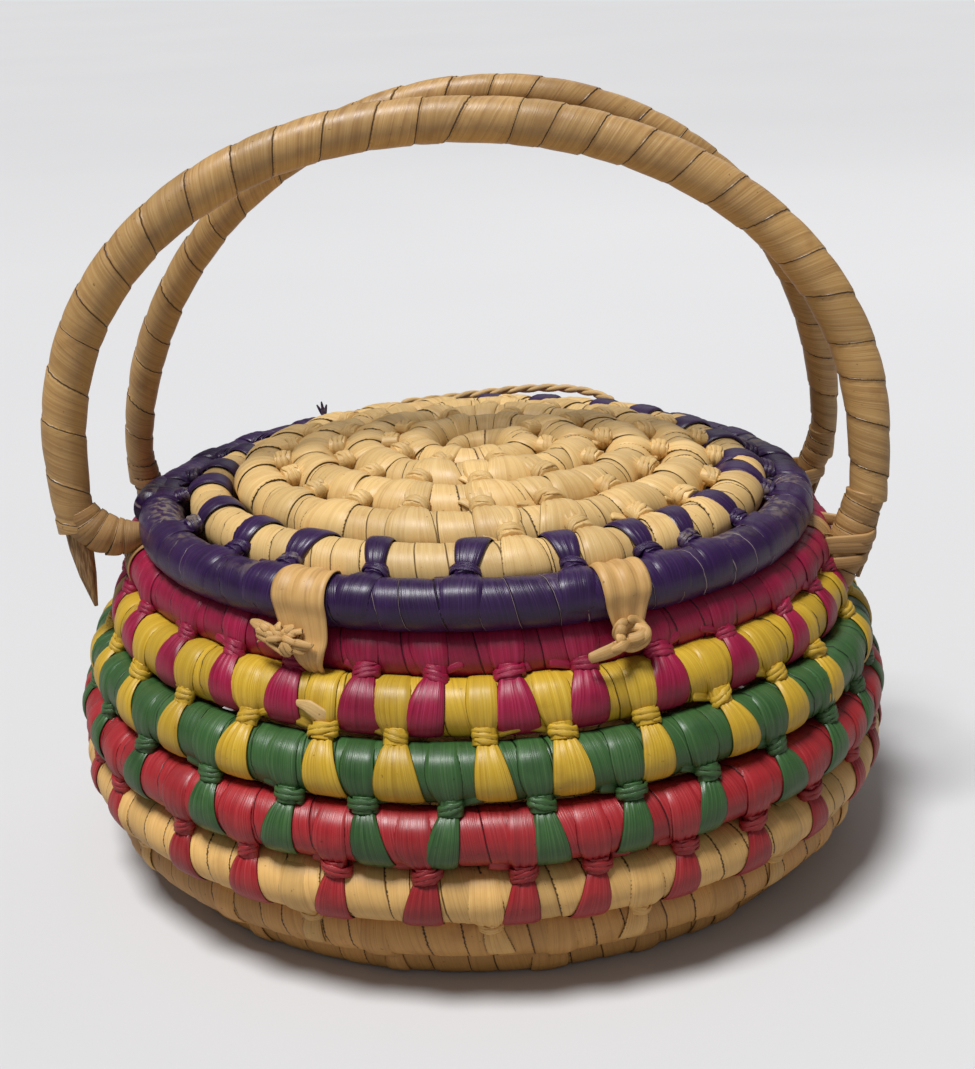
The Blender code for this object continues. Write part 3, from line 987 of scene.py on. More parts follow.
def wind_spiral(name, line, first, last, width, finish, body, seed):
    share = [first]
    while share[-1] < last:
        share.append(share[-1] + coil_step / (math.tau * float(line(share[-1])[0])))
    return wind_line(name, np.array(share), line, width, finish, body, seed)


def ribbon_patches(path, out, width, thickness, first_number=0):
    """Thin strips along paths[strip, station]: closed sections, and their uv."""
    ahead = unit_rows(np.gradient(path, axis=1))
    across = unit_rows(np.cross(ahead, out))
    upward = np.cross(across, ahead)
    angle = np.linspace(0, math.tau, ribbon_sides + 1)
    c = np.cos(angle)[None, None, :, None]
    s = np.sin(angle)[None, None, :, None]
    stations = np.arange(path.shape[1])
    close = np.minimum(stations, stations[::-1]) / ribbon_end_stations
    close = np.sqrt(np.clip(close, ribbon_end_least, 1))[None, :]
    wide = (np.asarray(width) * close)[..., None, None] / 2
    thick = (np.asarray(thickness) * close)[..., None, None] / 2
    points = path[:, :, None, :] + across[:, :, None, :] * wide * c + upward[:, :, None, :] * thick * s
    if np.mean(points[..., 2]) < near_floor:
        points[..., 2] = np.maximum(points[..., 2], 0.0)
    number = np.arange(len(path))[:, None, None] + first_number
    u = number + 0.5 + ribbon_half * c[..., 0] + 0 * path[:, :, :1]
    v = np.linspace(0, 1, path.shape[1])[None, :, None] + 0 * u
    return points[:, :, :ribbon_sides], np.stack([u, v], axis=-1)


def ribbon_object(name, paths, outs, widths, thickness, finish, body):
    paths, outs, widths = np.array(paths), np.array(outs), np.array(widths)
    points, uv = ribbon_patches(paths, outs, widths, thickness)
    return grid_object(name, points, uv, finish, body, rounded=True, flip=True)


def loose_ribbons(name, routes, finish, body):
    """Strips through given points: each route is (points, out direction, widths, thickness)."""
    paths = [smooth_curve(knot_stations, controls) for controls, _, _, _ in routes]
    outs = [np.broadcast_to(np.array(out, dtype=float), (knot_stations, 3)) for _, out, _, _ in routes]
    widths = []
    for _, _, across, _ in routes:
        t = np.linspace(0, len(across) - 1, knot_stations)
        widths.append(np.interp(t, np.arange(len(across)), across))
    thickness = np.array([np.full(knot_stations, thickness) for _, _, _, thickness in routes])
    return ribbon_object(name, paths, outs, widths, thickness, finish, body)


# Stitches and knots


class Seam:
    """The groove between two coils, with places given along it, towards the second coil and out."""

    def __init__(self, first_line, second_line, facing):
        self.first_line = first_line
        self.second_line = second_line
        self.facing = np.array(facing)

    def section(self, share):
        r1, z1, h1 = self.first_line(share)
        r2, z2, h2 = self.second_line(share)
        gap = np.hypot(r2 - r1, z2 - z1)
        along = np.stack([(r2 - r1) / gap, (z2 - z1) / gap], axis=-1)
        normal = np.stack([along[..., 1], -along[..., 0]], axis=-1)
        normal *= np.sign(normal @ self.facing)[..., None]
        first = np.stack([r1, z1], axis=-1)
        second = np.stack([r2, z2], axis=-1)
        return first, second, h1, h2, along, normal

    def shift(self, share, distance):
        radius = np.maximum(self.second_line(share)[0], spiral_eye_radius)
        return share + distance / (math.tau * radius)

    def spot(self, share, distance, toward, out):
        """Points at a distance along the groove from a share, measured from the groove's middle."""
        there = self.shift(share, distance)
        first, second, _, _, along, normal = self.section(there)
        flat = (first + second) / 2 + along * toward[..., None] + normal * out[..., None]
        return around(there, flat[..., 0], flat[..., 1])

    def turned_over(self, share):
        along, normal = self.section(share)[4:]
        return float(np.mean(along[..., 0] * normal[..., 1] - along[..., 1] * normal[..., 0])) < 0


def route_places(route, section, groove_share):
    """Where each step of a route lies in the upright plane, and the direction out of the work."""
    first, second, h1, h2, along, normal = section
    spots = []
    outs = []
    for where, angle, _, _ in route:
        c, s = math.cos(math.radians(angle)), math.sin(math.radians(angle))
        if where == "first":
            out = normal * c + along * s
            spots.append(first + out * h1[..., None])
        elif where == "second":
            out = normal * c - along * s
            spots.append(second + out * h2[..., None])
        else:
            out = normal
            depth = (h1 + h2) / 2 * groove_share
            spots.append((first + second) / 2 + normal * depth[..., None])
        outs.append(out)
    return np.array(spots), np.array(outs)


def sew(
    name, seam, shares, finish, slot, body, seed, size=1.0, route=stitch_route, raised=0.0,
    groove_share=groove_height_share,
):
    """Strips of leaf from one coil, gathered in the groove, then open over the next coil."""
    shares = np.asarray(shares, dtype=float)
    count = len(shares)
    chance = chances(count, seed, 2)
    t = np.linspace(0, len(route) - 1, stitch_long)
    x = np.linspace(-1, 1, stitch_wide)
    wide_x = x[None, None, :]
    weights = spline_weights(stitch_long, len(route))
    width_at = weights @ np.array([step[2] for step in route])
    full_at = weights @ np.array([step[3] for step in route])
    # The strip's last step is buried, so only the steps before it are raised
    to_end = np.clip((len(route) - 1 - t) / unraise_steps, 0, 1)
    full_at = full_at + raised * np.clip((t - knot_at) / raise_steps, 0, 1) * to_end

    width = width_at[None, :, None] * size * spread(band_width_share, chance(1))
    past_knot = (t - knot_at)[None, :, None]
    lean_share = np.where(past_knot > 0, chance(2) - 0.5, spread(band_lean_before, chance(3)))
    lean = past_knot * lean_share * width * band_lean
    # One edge of the open band hangs straighter than the other
    flare = np.clip(past_knot, 0, None) * width * band_flare * (chance(4) - band_flare_from)
    offset = wide_x * width / 2 + lean + flare * (wide_x > 0)
    share = seam.shift(shares[:, None, None], offset)
    spots, outs = route_places(route, seam.section(share), groove_share)
    spot = np.einsum("tc,cktxd->ktxd", weights, spots)
    out = unit_rows(np.einsum("tc,cktxd->ktxd", weights, outs))

    rounding = np.sqrt(np.clip(1 - x**2, 0, 1))[None, None, :]
    before = np.exp(-((np.clip(-past_knot, 0, None) / gather_before) ** 2))
    after = np.exp(-((np.clip(past_knot, 0, None) / gather_after) ** 2))
    edge_share = np.where(past_knot > 1, open_edge_share, gathered_edge_share)
    lift = full_at[None, :, None] * size * (edge_share + (1 - edge_share) * rounding)
    folds = np.abs(np.sin(math.pi * (gather_folds + chance(5)) * wide_x + chance_turn * chance(6)))
    lift = lift - gather_depth * size * before * after * (1 - folds)
    lift = lift + leaf_thickness * (1 - np.abs(x) ** strip_edge_power)[None, None, :] - strip_sink
    profile = spot + out * lift[..., None]
    points = around(share, profile[..., 0], profile[..., 1])
    if body == "root":
        points[..., 2] = np.maximum(points[..., 2], 0.0)

    u = np.arange(count)[:, None, None] + 0.5 + strip_half * wide_x + 0 * t[None, :, None]
    # Below nought, so that no dust settles on the open bands
    v = np.broadcast_to((t / len(route) - 1)[None, :, None], u.shape)
    uv = np.stack([u, v], axis=-1)
    place = coil_places.get(body, no_place)
    bands = grid_object(name, points, uv, finish, body, place, flip=seam.turned_over(shares))
    knots = knot(name + "_knots", seam, shares, finish, body, seed, size, groove_share)


def knot(name, seam, shares, finish, body, seed, size, groove_share):
    """A few turns of leaf round each neck, and a fold that runs into the knot from one side."""
    chance = chances(len(shares), seed, 1)
    along = np.linspace(0, 1, knot_stations)[None, :]
    left = 1 - along
    share = shares[:, None] + 0 * along
    nought = 0 * share
    h1, h2 = seam.section(share)[2:4]
    middle = (h1 + h2) / 2 * groove_share + knot_lift * size

    turn = math.tau * knot_turns * along + chance_turn * chance(11)
    grow = size * spread(knot_grow, chance(12))
    distance = knot_half_width * grow * np.cos(turn) + knot_aside * (chance(13) - 0.5)
    tilt = (chance(14) - 0.5) * knot_tilt
    toward = size * (knot_pitch * knot_turns * (along - 0.5) + tilt * np.cos(turn))
    path = seam.spot(share, distance, toward, middle + knot_half_depth * grow * np.sin(turn))
    centre = seam.spot(share, nought, toward, middle)
    width = knot_ribbon_width * size * spread(knot_ribbon_wave, np.sin(knot_ribbon_waves * turn))
    winding = ribbon_patches(path, path - centre, width, knot_ribbon_thickness * size + nought)

    # The neck that the turns close round, wide enough to fill them
    toward = neck_length * size * (along - 0.5) + nought
    path = seam.spot(share, nought, toward, middle)
    out = seam.spot(share, nought, nought, middle + neck_facing) - path
    width = nought + 2 * knot_half_width * size
    neck = ribbon_patches(path, out, width, 2 * knot_half_depth * grow + nought, neck_number)

    way = np.where(chance(15) < fold_left_share, -1.0, 1.0)
    reach = fold_length * size * spread(fold_length_share, chance(16))
    distance = way * reach * left
    toward = -fold_climb * size * spread(fold_climb_share, chance(17)) * left**fold_climb_power
    # The fold lies on the first coil, and rises to the knot's height at its end
    first, second = seam.section(seam.shift(share, distance))[:2]
    from_middle = np.linalg.norm(second - first, axis=-1) / 2 + toward
    on_coil = np.sqrt(np.clip(h1**2 - from_middle**2, 0, None))
    knot_out = (h1 + h2) / 2 * (groove_share + fold_end_share)
    # It starts inside the coil, so that it comes up out of it like a crease
    out = np.maximum(on_coil - fold_sink * left**fold_sink_power, knot_out * along)
    path = seam.spot(share, distance, toward, out)
    lower = seam.spot(share, distance, toward, out - fold_facing)
    width = fold_width * size * spread(fold_taper, along) * spread(fold_width_share, chance(18))
    fold = ribbon_patches(path, path - lower, width, fold_thickness * size + nought, fold_number)
    points, uv = [np.concatenate(arrays) for arrays in zip(winding, fold, neck)]
    place = coil_places.get(body, no_place)
    return grid_object(name, points, uv, finish, body, place, rounded=True, flip=True)


# Finishes


class Tree:
    """Short calls for a material's nodes."""

    def __init__(self, name):
        self.material = bpy.data.materials.new(name)
        self.material.use_nodes = True
        self.nodes = self.material.node_tree.nodes
        self.links = self.material.node_tree.links
        self.shader = self.nodes["Principled BSDF"]

    def put(self, socket, value):
        if isinstance(value, bpy.types.NodeSocket):
            self.links.new(value, socket)
        else:
            socket.default_value = value

    def math(self, operation, first, second=0.0):
        node = self.nodes.new("ShaderNodeMath")
        node.operation = operation
        self.put(node.inputs[0], first)
        self.put(node.inputs[1], second)
        return node.outputs[0]

    def times(self, first, second):
        return self.math("MULTIPLY", first, second)

    def vector(self, x, y, z):
        node = self.nodes.new("ShaderNodeCombineXYZ")
        for socket, value in zip(node.inputs, (x, y, z)):
            self.put(socket, value)
        return node.outputs[0]

    def noise(self, vector, scale, detail=2.0):
        node = self.nodes.new("ShaderNodeTexNoise")
        self.put(node.inputs["Vector"], vector)
        node.inputs["Scale"].default_value = scale
        node.inputs["Detail"].default_value = detail
        return node.outputs["Fac"]

    def ramp(self, value, low, high, to_low=0.0, to_high=1.0):
        node = self.nodes.new("ShaderNodeMapRange")
        node.interpolation_type = "SMOOTHSTEP"
        self.put(node.inputs["Value"], value)
        for name, number in (("From Min", low), ("From Max", high), ("To Min", to_low), ("To Max", to_high)):
            node.inputs[name].default_value = number
        return node.outputs["Result"]

    def mix(self, share, first, second, blend="MIX"):
        node = self.nodes.new("ShaderNodeMix")
        node.data_type = "RGBA"
        node.blend_type = blend
        # Sockets 6 and 7 take the two colours, and socket 2 gives the mixed one
        self.put(node.inputs["Factor"], share)
        self.put(node.inputs[6], first)
        self.put(node.inputs[7], second)
        return node.outputs[2]

    def place(self):
        return self.nodes.new("ShaderNodeTexCoord").outputs["Object"]

    def finish(self, shade, rough, height, distance):
        """The shader's colour, roughness and bump."""
        self.put(self.shader.inputs["Base Color"], shade)
        self.put(self.shader.inputs["Roughness"], rough)
        node = self.nodes.new("ShaderNodeBump")
        node.inputs["Distance"].default_value = distance
        node.inputs["Strength"].default_value = 1.0
        self.put(node.inputs["Height"], height)
        self.links.new(node.outputs[0], self.shader.inputs["Normal"])
        return self.material


def leaf_finish(
    name, plain, deep, pale, edge, roughness, dashes=0.0, dust=0.0, edge_width=leaf_edge_width,
    pale_edges=0.0,
):
    """Strips of palm leaf: fibres along the strip, uneven dye, painted shade in the crease at each wrap's
    edge, and dust in the creases.
    """
    tree = Tree(name)
    strip = tree.nodes.new("ShaderNodeUVMap")
    strip.uv_map = "strip"
    parts = tree.nodes.new("ShaderNodeSeparateXYZ")
    tree.links.new(strip.outputs[0], parts.inputs[0])
    across, along = parts.outputs[0], parts.outputs[1]
    number = tree.math("FLOOR", across)
    inside = tree.math("FRACT", across)
    white = tree.nodes.new("ShaderNodeTexWhiteNoise")
    white.noise_dimensions = "1D"
    tree.links.new(number, white.inputs["W"])
    own = white.outputs["Value"]

    fibres = tree.noise(tree.vector(tree.times(across, fibres_across), along, number), 1.0, fibre_detail)
    streaks = tree.noise(tree.vector(tree.times(across, streaks_across), along, number), 1.0)
    blotches = tree.noise(tree.place(), *blotch_noise)
    specks = tree.noise(tree.place(), *speck_noise)

    shade = tree.mix(tree.ramp(streaks, *streak_ramp), deep, plain)
    shade = tree.mix(tree.ramp(fibres, *pale_fibre_ramp), shade, pale)
    shade = tree.mix(tree.ramp(fibres, *deep_fibre_ramp), shade, deep)
    tone = tree.ramp(own, *strip_tone_ramp)
    shade = tree.mix(1.0, shade, tree.vector(tone, tone, tone), "MULTIPLY")
    shade = tree.mix(tree.ramp(blotches, *blotch_ramp), shade, deep)
    shade = tree.mix(tree.ramp(specks, *speck_ramp), shade, edge)

    to_edge = tree.math("MINIMUM", inside, tree.math("SUBTRACT", 1.0, inside))
    # A dark line along each wrap's edge, with breaks: painted shade of the crease where one wrap meets the
    # next
    crease_shade_breaks = tree.noise(tree.vector(number, tree.times(along, crease_shade_breaks_along), 0.0), 1.0)
    line = tree.ramp(to_edge, edge_width * crease_shade_core_share, edge_width, 1.0, 0.0)
    line = tree.times(line, tree.ramp(crease_shade_breaks, *crease_shade_break_ramp))
    # Worn purple strips have their edges rubbed pale instead of painted with crease shade
    if pale_edges:
        worn = tree.ramp(own, *worn_ramp, 0.0, pale_edges)
        edge = tree.mix(worn, edge, colour(*worn_colour))
    shade = tree.mix(line, shade, edge)
    if dashes:
        dash_place = tree.vector(number, tree.times(along, dashes_along), dash_layer)
        dash_noise = tree.noise(dash_place, 1.0, 0.0)
        dash = tree.times(tree.ramp(dash_noise, *dash_ramp), tree.ramp(to_edge, *dash_side_ramp))
        picked = tree.ramp(own, *dashed_strip_ramp, 0.0, dashes)
        shade = tree.mix(tree.times(dash, picked), shade, colour(*dash_colour))
    rough = tree.ramp(fibres, *rough_ramp, roughness - rough_less, roughness + rough_more)
    if dust:
        fine = tree.ramp(tree.noise(tree.place(), *dust_noise), *dust_ramp, 0.0, dust)
        settled = tree.times(fine, tree.ramp(along, *dust_height_ramp))
        patches = tree.ramp(tree.noise(tree.place(), *dust_patch_noise), *dust_patch_ramp)
        settled = tree.times(settled, patches)
        shade = tree.mix(settled, shade, colour(*dust_colour))
        rough = tree.math("MAXIMUM", rough, tree.times(settled, dusty_roughness))
    tree.shader.inputs["Specular IOR Level"].default_value = leaf_sheen
    groove = tree.ramp(to_edge, 0.0, edge_width * groove_width_share, -1.0, 0.0)
    height = tree.math("ADD", tree.times(fibres, fibre_height), groove)
    height = tree.math("ADD", height, tree.times(blotches, blotch_height))
    return tree.finish(shade, rough, height, leaf_relief)


def stem_finish():
    """Dry stems seen end on and along, without strips."""
    tree = Tree("handle_stem")
    stretched = tree.nodes.new("ShaderNodeMapping")
    stretched.inputs["Scale"].default_value = stem_stretch
    tree.links.new(tree.place(), stretched.inputs["Vector"])
    grain = tree.noise(stretched.outputs[0], *stem_noise)
    deep, pale = [colour(*tone) for tone in stem_colours]
    shade = tree.mix(tree.ramp(grain, *stem_ramp), deep, pale)
    return tree.finish(shade, tree.ramp(grain, *stem_rough_ramp), grain, stem_relief)


def build_finishes():
    made = {}
    for name, (plain, deep, pale, edge, roughness, more) in leaf_table.items():
        tones = [colour(*tone) for tone in (plain, deep, pale, edge)]
        made[name] = leaf_finish(name, *tones, roughness, **more)
    made["handle_stem"] = stem_finish()
    return made


# Wall, base and lid


def build_wall(finishes):
    outward = (1.0, 0.0)
    below = base_edge_line
    for index, (name, _, _, slot) in enumerate(row_plan):
        finish = finishes["wall_cream" if slot == "leaf_cream" else slot]
        line = ring_line(name)
        coil = wind_ring(name + "_coil", line, wrap_width, finish, "root", index + 1)
        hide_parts(name)
        if name == "wall_row_natural_lower":
            shares = (np.arange(base_stitches) + base_stitch_start) / base_stitches
        else:
            shares = shares_in_photo(name, below, outward)
        natural = name in ("wall_row_natural_lower", "wall_row_natural_upper")
        sew(
            name + "_stitches", Seam(line, below, outward), shares, finish, slot, "root",
            index + wall_stitch_seed, size=natural_stitch_size if natural else 1.0,
            route=short_route if natural else stitch_route,
        )
        below = line


def build_spiral(node, line, first, last, width, spacing, facing, finish, slot, body, seed, **how):
    """The base or the lid, with its stitches. What follows the seed goes to the stitches."""
    coil = wind_spiral(node + "_coil", line, first, last, width, finish, body, seed)
    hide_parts(node)
    seam = Seam(lambda share: line(share + 1), line, facing)
    shares = spiral_shares(line, last, spacing)
    sew(node + "_stitches", seam, shares, finish, slot, body, seed + 1, **how)


def build_lid_rim(purple):
    rim = wind_ring("lid_rim_coil", lid_rim_line, wrap_width, purple, "lid", seed=51)
    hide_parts("lid_rim_purple")
    upward = (0.0, 1.0)
    shares = shares_in_photo("lid_rim_purple", lid_edge_line, upward, lid_place)
    sew(
        "lid_rim_stitches", Seam(lid_rim_line, lid_edge_line, upward), shares, purple, "leaf_purple", "lid",
        seed=52, size=lid_rim_stitch_size, raised=lid_rim_stitch_raise,
    )


def build_purple_overlap(purple):
    share = np.linspace(*overlap_shares, overlap_stations)
    overlap = wind_line(
        "lid_rim_overlap", share, overlap_line, overlap_wrap_width, purple, "lid", seed=55
    )


# Handles and what holds them


def foot_half_width(handle):
    from_middle = rim_edge_radius + handle["foot_clearance"] + handle["foot_diameter"] / 2
    return math.sqrt(from_middle**2 - handle["pivot_y"] ** 2)


def hoop_shape(handle):
    """How far the hoop leans for each step up, half its widest width, and its legs' curve."""
    lean = (handle["top_y"] - handle["pivot_y"]) / handle["rise"]
    half_width = foot_half_width(handle) + handle["swell"]
    depth = handle["widest_rise"] / math.sqrt(1 - (foot_half_width(handle) / half_width) ** 2)
    return lean, half_width, depth


def leg_point(handle, side, height):
    """The middle of a leg at a height above the pivot, on the leg's own curve."""
    lean, half_width, depth = hoop_shape(handle)
    inward = 1 - ((handle["widest_rise"] - height) / depth) ** 2
    x = side * half_width * math.sqrt(max(inward, least_leg_share))
    x += handle["shift"] + handle["skew"] * max(height, 0.0) / handle["rise"]
    return np.array([x, handle["pivot_y"] + lean * height, handle_pivot_height + height])


def handle_line(handle):
    """Points and half thicknesses, evenly along the handle, and its plane's up direction."""
    rise = handle["rise"]
    widest = handle["widest_rise"]
    lean, half_width, depth = hoop_shape(handle)
    power = 2 / handle["arch_power_share"]
    lowest = min(handle_end_rise, widest - least_leg_length)
    leg_heights = np.linspace(lowest, widest, leg_stations)[:-1]
    leg_x = half_width * np.sqrt(1 - ((widest - leg_heights) / depth) ** 2)
    angle = np.linspace(0, math.pi / 2, arch_stations)
    arch_x = half_width * np.clip(np.cos(angle), 0, None) ** power
    arch_heights = widest + (rise - widest) * np.sin(angle) ** power
    x = np.concatenate([leg_x, arch_x])
    height = np.concatenate([leg_heights, arch_heights])
    x = np.concatenate([x, -x[-2::-1]])
    height = np.concatenate([height, height[-2::-1]])
    middle = handle["shift"] + handle["skew"] * height / rise
    upright = (handle["pivot_y"] + lean * height, handle_pivot_height + height)
    points = np.stack([x + middle, *upright], axis=-1)
    lengths = lengths_along(points)
    even = np.linspace(0, lengths[-1], int(lengths[-1] / coil_step))
    points = np.stack([np.interp(even, lengths, points[:, k]) for k in range(3)], axis=-1)
    above = np.clip((points[:, 2] - handle_pivot_height) / handle_taper_rise, 0, 1)
    half = (handle["foot_diameter"] * (1 - above) + handle["diameter"] * above) / 2
    upward = np.array([0, lean, 1.0]) / math.hypot(lean, 1)
    return points, half, upward


def build_handle(name, handle, finishes, seed):
    points, half, upward = handle_line(handle)
    forward = unit_rows(np.gradient(points, axis=0))
    across = np.broadcast_to(np.cross([1.0, 0.0, 0.0], upward), forward.shape)
    # The seam between the two ends of the winding faces the inside of the hoop
    side = unit_rows(np.cross(across, forward))
    wrap = wound_tube(
        name + "_winding", points, side, np.cross(forward, side), half, handle_strip_width,
        handle_wrap_step, finishes["handle_leaf"], name, seed,
    )
    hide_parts(name + "_wrap")
    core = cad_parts[name + "_core"]
    for place in core.material_slots:
        place.link = "OBJECT"
        place.material = finishes["handle_stem"]


def foot_curve(handle, side, route):
    """A foot's middle line and half thicknesses, from its leg down and in to the rim."""
    route = np.array(route)
    top = leg_point(handle, side, route[0, 1])
    inward = -unit_rows(np.array((top[0], top[1], 0)))
    points = [leg_point(handle, side, height) + inward * step for step, height, _ in route]
    return smooth_curve(foot_stations, points), smooth_curve(foot_stations, route[:, 2])


def build_lashing(end, handle, side, finish, seed):
    """Close windings down a foot, and strips round the rim that it is held to."""
    place = end + ("_right" if side > 0 else "_left")
    name = "handle_lashing_" + place
    path, half = foot_curve(handle, side, foot_routes[place])
    path, half = path[foot_first_station:], half[foot_first_station:]
    even = np.linspace(0, len(path) - 1, len(path) * 2)
    path = np.stack([np.interp(even, np.arange(len(path)), path[:, k]) for k in range(3)], axis=-1)
    grown = np.clip(even / (foot_thin_length * even[-1]), 0, 1)
    half = np.interp(even, np.arange(len(half)), half)
    half += foot_winding_lift * (foot_thin_share + (1 - foot_thin_share) * grown)
    half[0] = half[-1] = 0.0
    ahead = unit_rows(np.gradient(path, axis=0))
    across = unit_rows(np.cross(ahead, [0.0, 1.0, 0.0]))
    winding = wound_tube(
        name + "_windings", path, across, np.cross(ahead, across), half, foot_winding_width,
        foot_wrap_step, finish, None, seed,
    )
    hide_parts(name)
    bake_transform(winding)
    build_rim_strips(name, path[-1], finish)
    if place != "front_left":
        build_foot_loops(name, path, half, finish)


def build_rim_strips(name, foot_end, finish):
    paths = []
    outs = []
    for k in (-1, 0, 1):
        angle = math.atan2(foot_end[1], foot_end[0]) + k * rim_strip_spacing / rim_radius
        share = angle / math.tau + quarter_turn
        radius, height, coil_half = ring_line("rim_row_pink")(share)
        outward = outward_at(angle)
        middle = outward * float(radius) + straight_up * float(height)
        reach = float(coil_half) + foot_winding_lift
        turns = [rim_strip_start + rim_strip_sweep * k / rim_strip_steps for k in range(rim_strip_steps + 1)]
        away = np.array([tilted(outward, math.radians(turn)) for turn in turns])
        paths.append(smooth_curve(knot_stations, middle + away * reach))
        outs.append(smooth_curve(knot_stations, away))
    widths = np.full((3, knot_stations), rim_strip_spacing * rim_strip_cover)
    strips = ribbon_object(name + "_rim_strips", paths, outs, widths, lashing_thickness, finish, "root")


def build_foot_loops(name, path, half, finish):
    """Strips that come out of the rim, pass round the outside of a foot and go back in."""
    paths = []
    outs = []
    for number, height in enumerate(foot_loop_heights):
        station = int(np.argmin(np.abs(path[:, 2] - handle_pivot_height - height)))
        middle = path[station]
        angle = math.atan2(middle[1], middle[0])
        outward = outward_at(angle)
        sideways = np.array([-math.sin(angle), math.cos(angle), 0.0])
        reach = half[station] + foot_loop_lift
        away = math.hypot(middle[0], middle[1]) - rim_radius + foot_loop_bury
        slope = foot_loop_slope * (-1) ** number
        controls = []
        directions = []
        for step, along in foot_loop_route:
            out = step * (away if step < 0 else reach)
            beside = sideways * along * reach
            controls.append(middle + outward * out + beside + straight_up * slope * along)
            directions.append(outward * (max(out, 0.0) + foot_loop_facing) + beside)
        paths.append(smooth_curve(knot_stations, controls))
        outs.append(smooth_curve(knot_stations, directions))
    widths = np.full((len(paths), knot_stations), foot_loop_width)
    loops = ribbon_object(name + "_loops", paths, outs, widths, lashing_thickness, finish, None)
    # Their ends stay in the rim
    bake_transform(loops)


def build_lashings(finish):
    seed = lashing_seed
    for end, handle in (("front", front_handle), ("rear", rear_handle)):
        for side in (1, -1):
            build_lashing(end, handle, side, finish, seed)
            seed += 1


# Ties, pull loop and loose ends


def followed_rim(angle):
    """The line that a tie's lower end lies on, part of the way back to the set-back pink row."""
    back = smooth_between((angle + math.pi / 2) / math.tau % 1.0, pink_shares, pink_set_back)
    radius = rim_radius - tie_follow_share * back
    return np.stack([np.cos(angle) * radius, np.sin(angle) * radius, rim_height + 0 * angle], axis=-1)


def build_tie(name, angle, route, finish):
    """A strip over the lid's rim and down the outside of the basket's rim."""
    weights = spline_weights(tie_long, len(route))
    x = np.linspace(-1, 1, tie_wide)[None, :]
    width = (weights @ np.array([step[2] for step in route]))[:, None]
    sideways = (weights @ np.array([step[3] for step in route]))[:, None]
    there = angle + (x * width / 2 + sideways) / rim_edge_radius
    outward = np.stack([np.cos(there), np.sin(there), 0 * there], axis=-1)
    spots = []
    outs = []
    for where, turn, _, _ in route:
        middle = lid_rim_middle(there) if where == "lid" else followed_rim(there)
        outs.append(tilted(outward, math.radians(turn)))
        spots.append(middle + outs[-1] * (rim_coil / 2 + tie_lift))
    points = np.einsum("tc,ctxd->txd", weights, np.array(spots))
    out = np.einsum("tc,ctxd->txd", weights, np.array(outs))
    slant = tie_crease_along * np.linspace(0, 1, tie_long)[:, None]
    creases = tie_crease * np.sin(tie_crease_across * x + slant)
    points = points + out * (creases + leaf_thickness * (1 - np.abs(x) ** strip_edge_power))[..., None]
    along = np.linspace(0, tie_strip_length, tie_long)[:, None]
    u = 0.5 + tie_strip_half * x + 0 * along
    uv = np.stack([u, along + 0 * u], axis=-1)
    tie = grid_object(name + "_strip", points[None], uv[None], finish, None)
    fold = tie.modifiers.new("thickness", "SOLIDIFY")
    fold.thickness = leaf_thickness
    fold.offset = -1
    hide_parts(name)
    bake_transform(tie)


def rim_spot(angle, sideways, turn, lift):
    """A point beside the basket's rim coil, and the direction out of the coil there."""
    there = angle + sideways / rim_edge_radius
    out = tilted(outward_at(there), turn)
    return followed_rim(there) + out * (rim_coil / 2 + lift), out


def arched(first, last, out, arch):
    """Two ends and a point between them that stands out."""
    return first, (first + last) / 2 + out * arch, last


def left_knot(angle):
    """A tangle of loose ends, and a tail."""
    routes = []
    for k in range(tangle_strands):
        a, b, c, d = [scatter(k, tangle_seed + i) for i in range(4)]
        reach = spread(tangle_reach, a)
        heading = math.tau * b
        back = tangle_loose_reach if k % tangle_loose_every == 0 else tangle_turned_reach
        turned = heading + tangle_turn
        moves = (
            (c - 0.5, d - 0.5, 0.0),
            (reach * math.cos(heading), math.sin(heading), d),
            (back * reach * math.cos(turned), back * math.sin(turned), c),
        )
        spots = []
        for (place, sizes), move in zip(tangle_spots, moves):
            spots.append(rim_spot(angle, *(p + s * m for p, s, m in zip(place, sizes, move))))
        (start, out), (across, _), (end, _) = spots
        route = (*arched(start, across, out, tangle_arch), end)
        routes.append((route, out, tangle_widths, tangle_thickness))
    (tail, out), (tip, _) = [rim_spot(angle, *spot) for spot in left_tail_spots]
    routes.append((arched(tail, tip, out, left_tail_arch), out, left_tail_widths, left_tail_thickness))
    return routes


def right_knot(angle):
    """A neat knot of a few turns, with one long tail."""
    routes = []
    middle, out = rim_spot(angle, *neat_spot)
    sideways = unit_rows(np.cross(straight_up, out))
    upward = np.cross(out, sideways)
    for k in range(neat_turns):
        loop = []
        for step in range(neat_steps + 1):
            turn = math.tau * step / neat_steps + neat_turn_step * k
            aside = sideways * neat_half_width * math.cos(turn)
            above = upward * (neat_half_height * math.sin(turn) + neat_pitch * (k - 1))
            loop.append(middle + aside + above + out * (neat_bulge * math.cos(2 * turn + k) + neat_lift))
        routes.append((loop, out, neat_widths, neat_thickness))
    (start, out), (bend, _), (tip, _) = [rim_spot(angle, *spot) for spot in right_tail_spots]
    routes.append(((start, bend, tip), out, right_tail_widths, right_tail_thickness))
    cover = arched(start, bend, out, right_cover_arch)
    routes.append((cover, out, right_cover_widths, right_cover_thickness))
    return routes


def build_tie_knots(finish):
    routes = left_knot(tie_angles[0]) + right_knot(tie_angles[1])
    knots = loose_ribbons("hinge_tie_knots", routes, finish, "root")


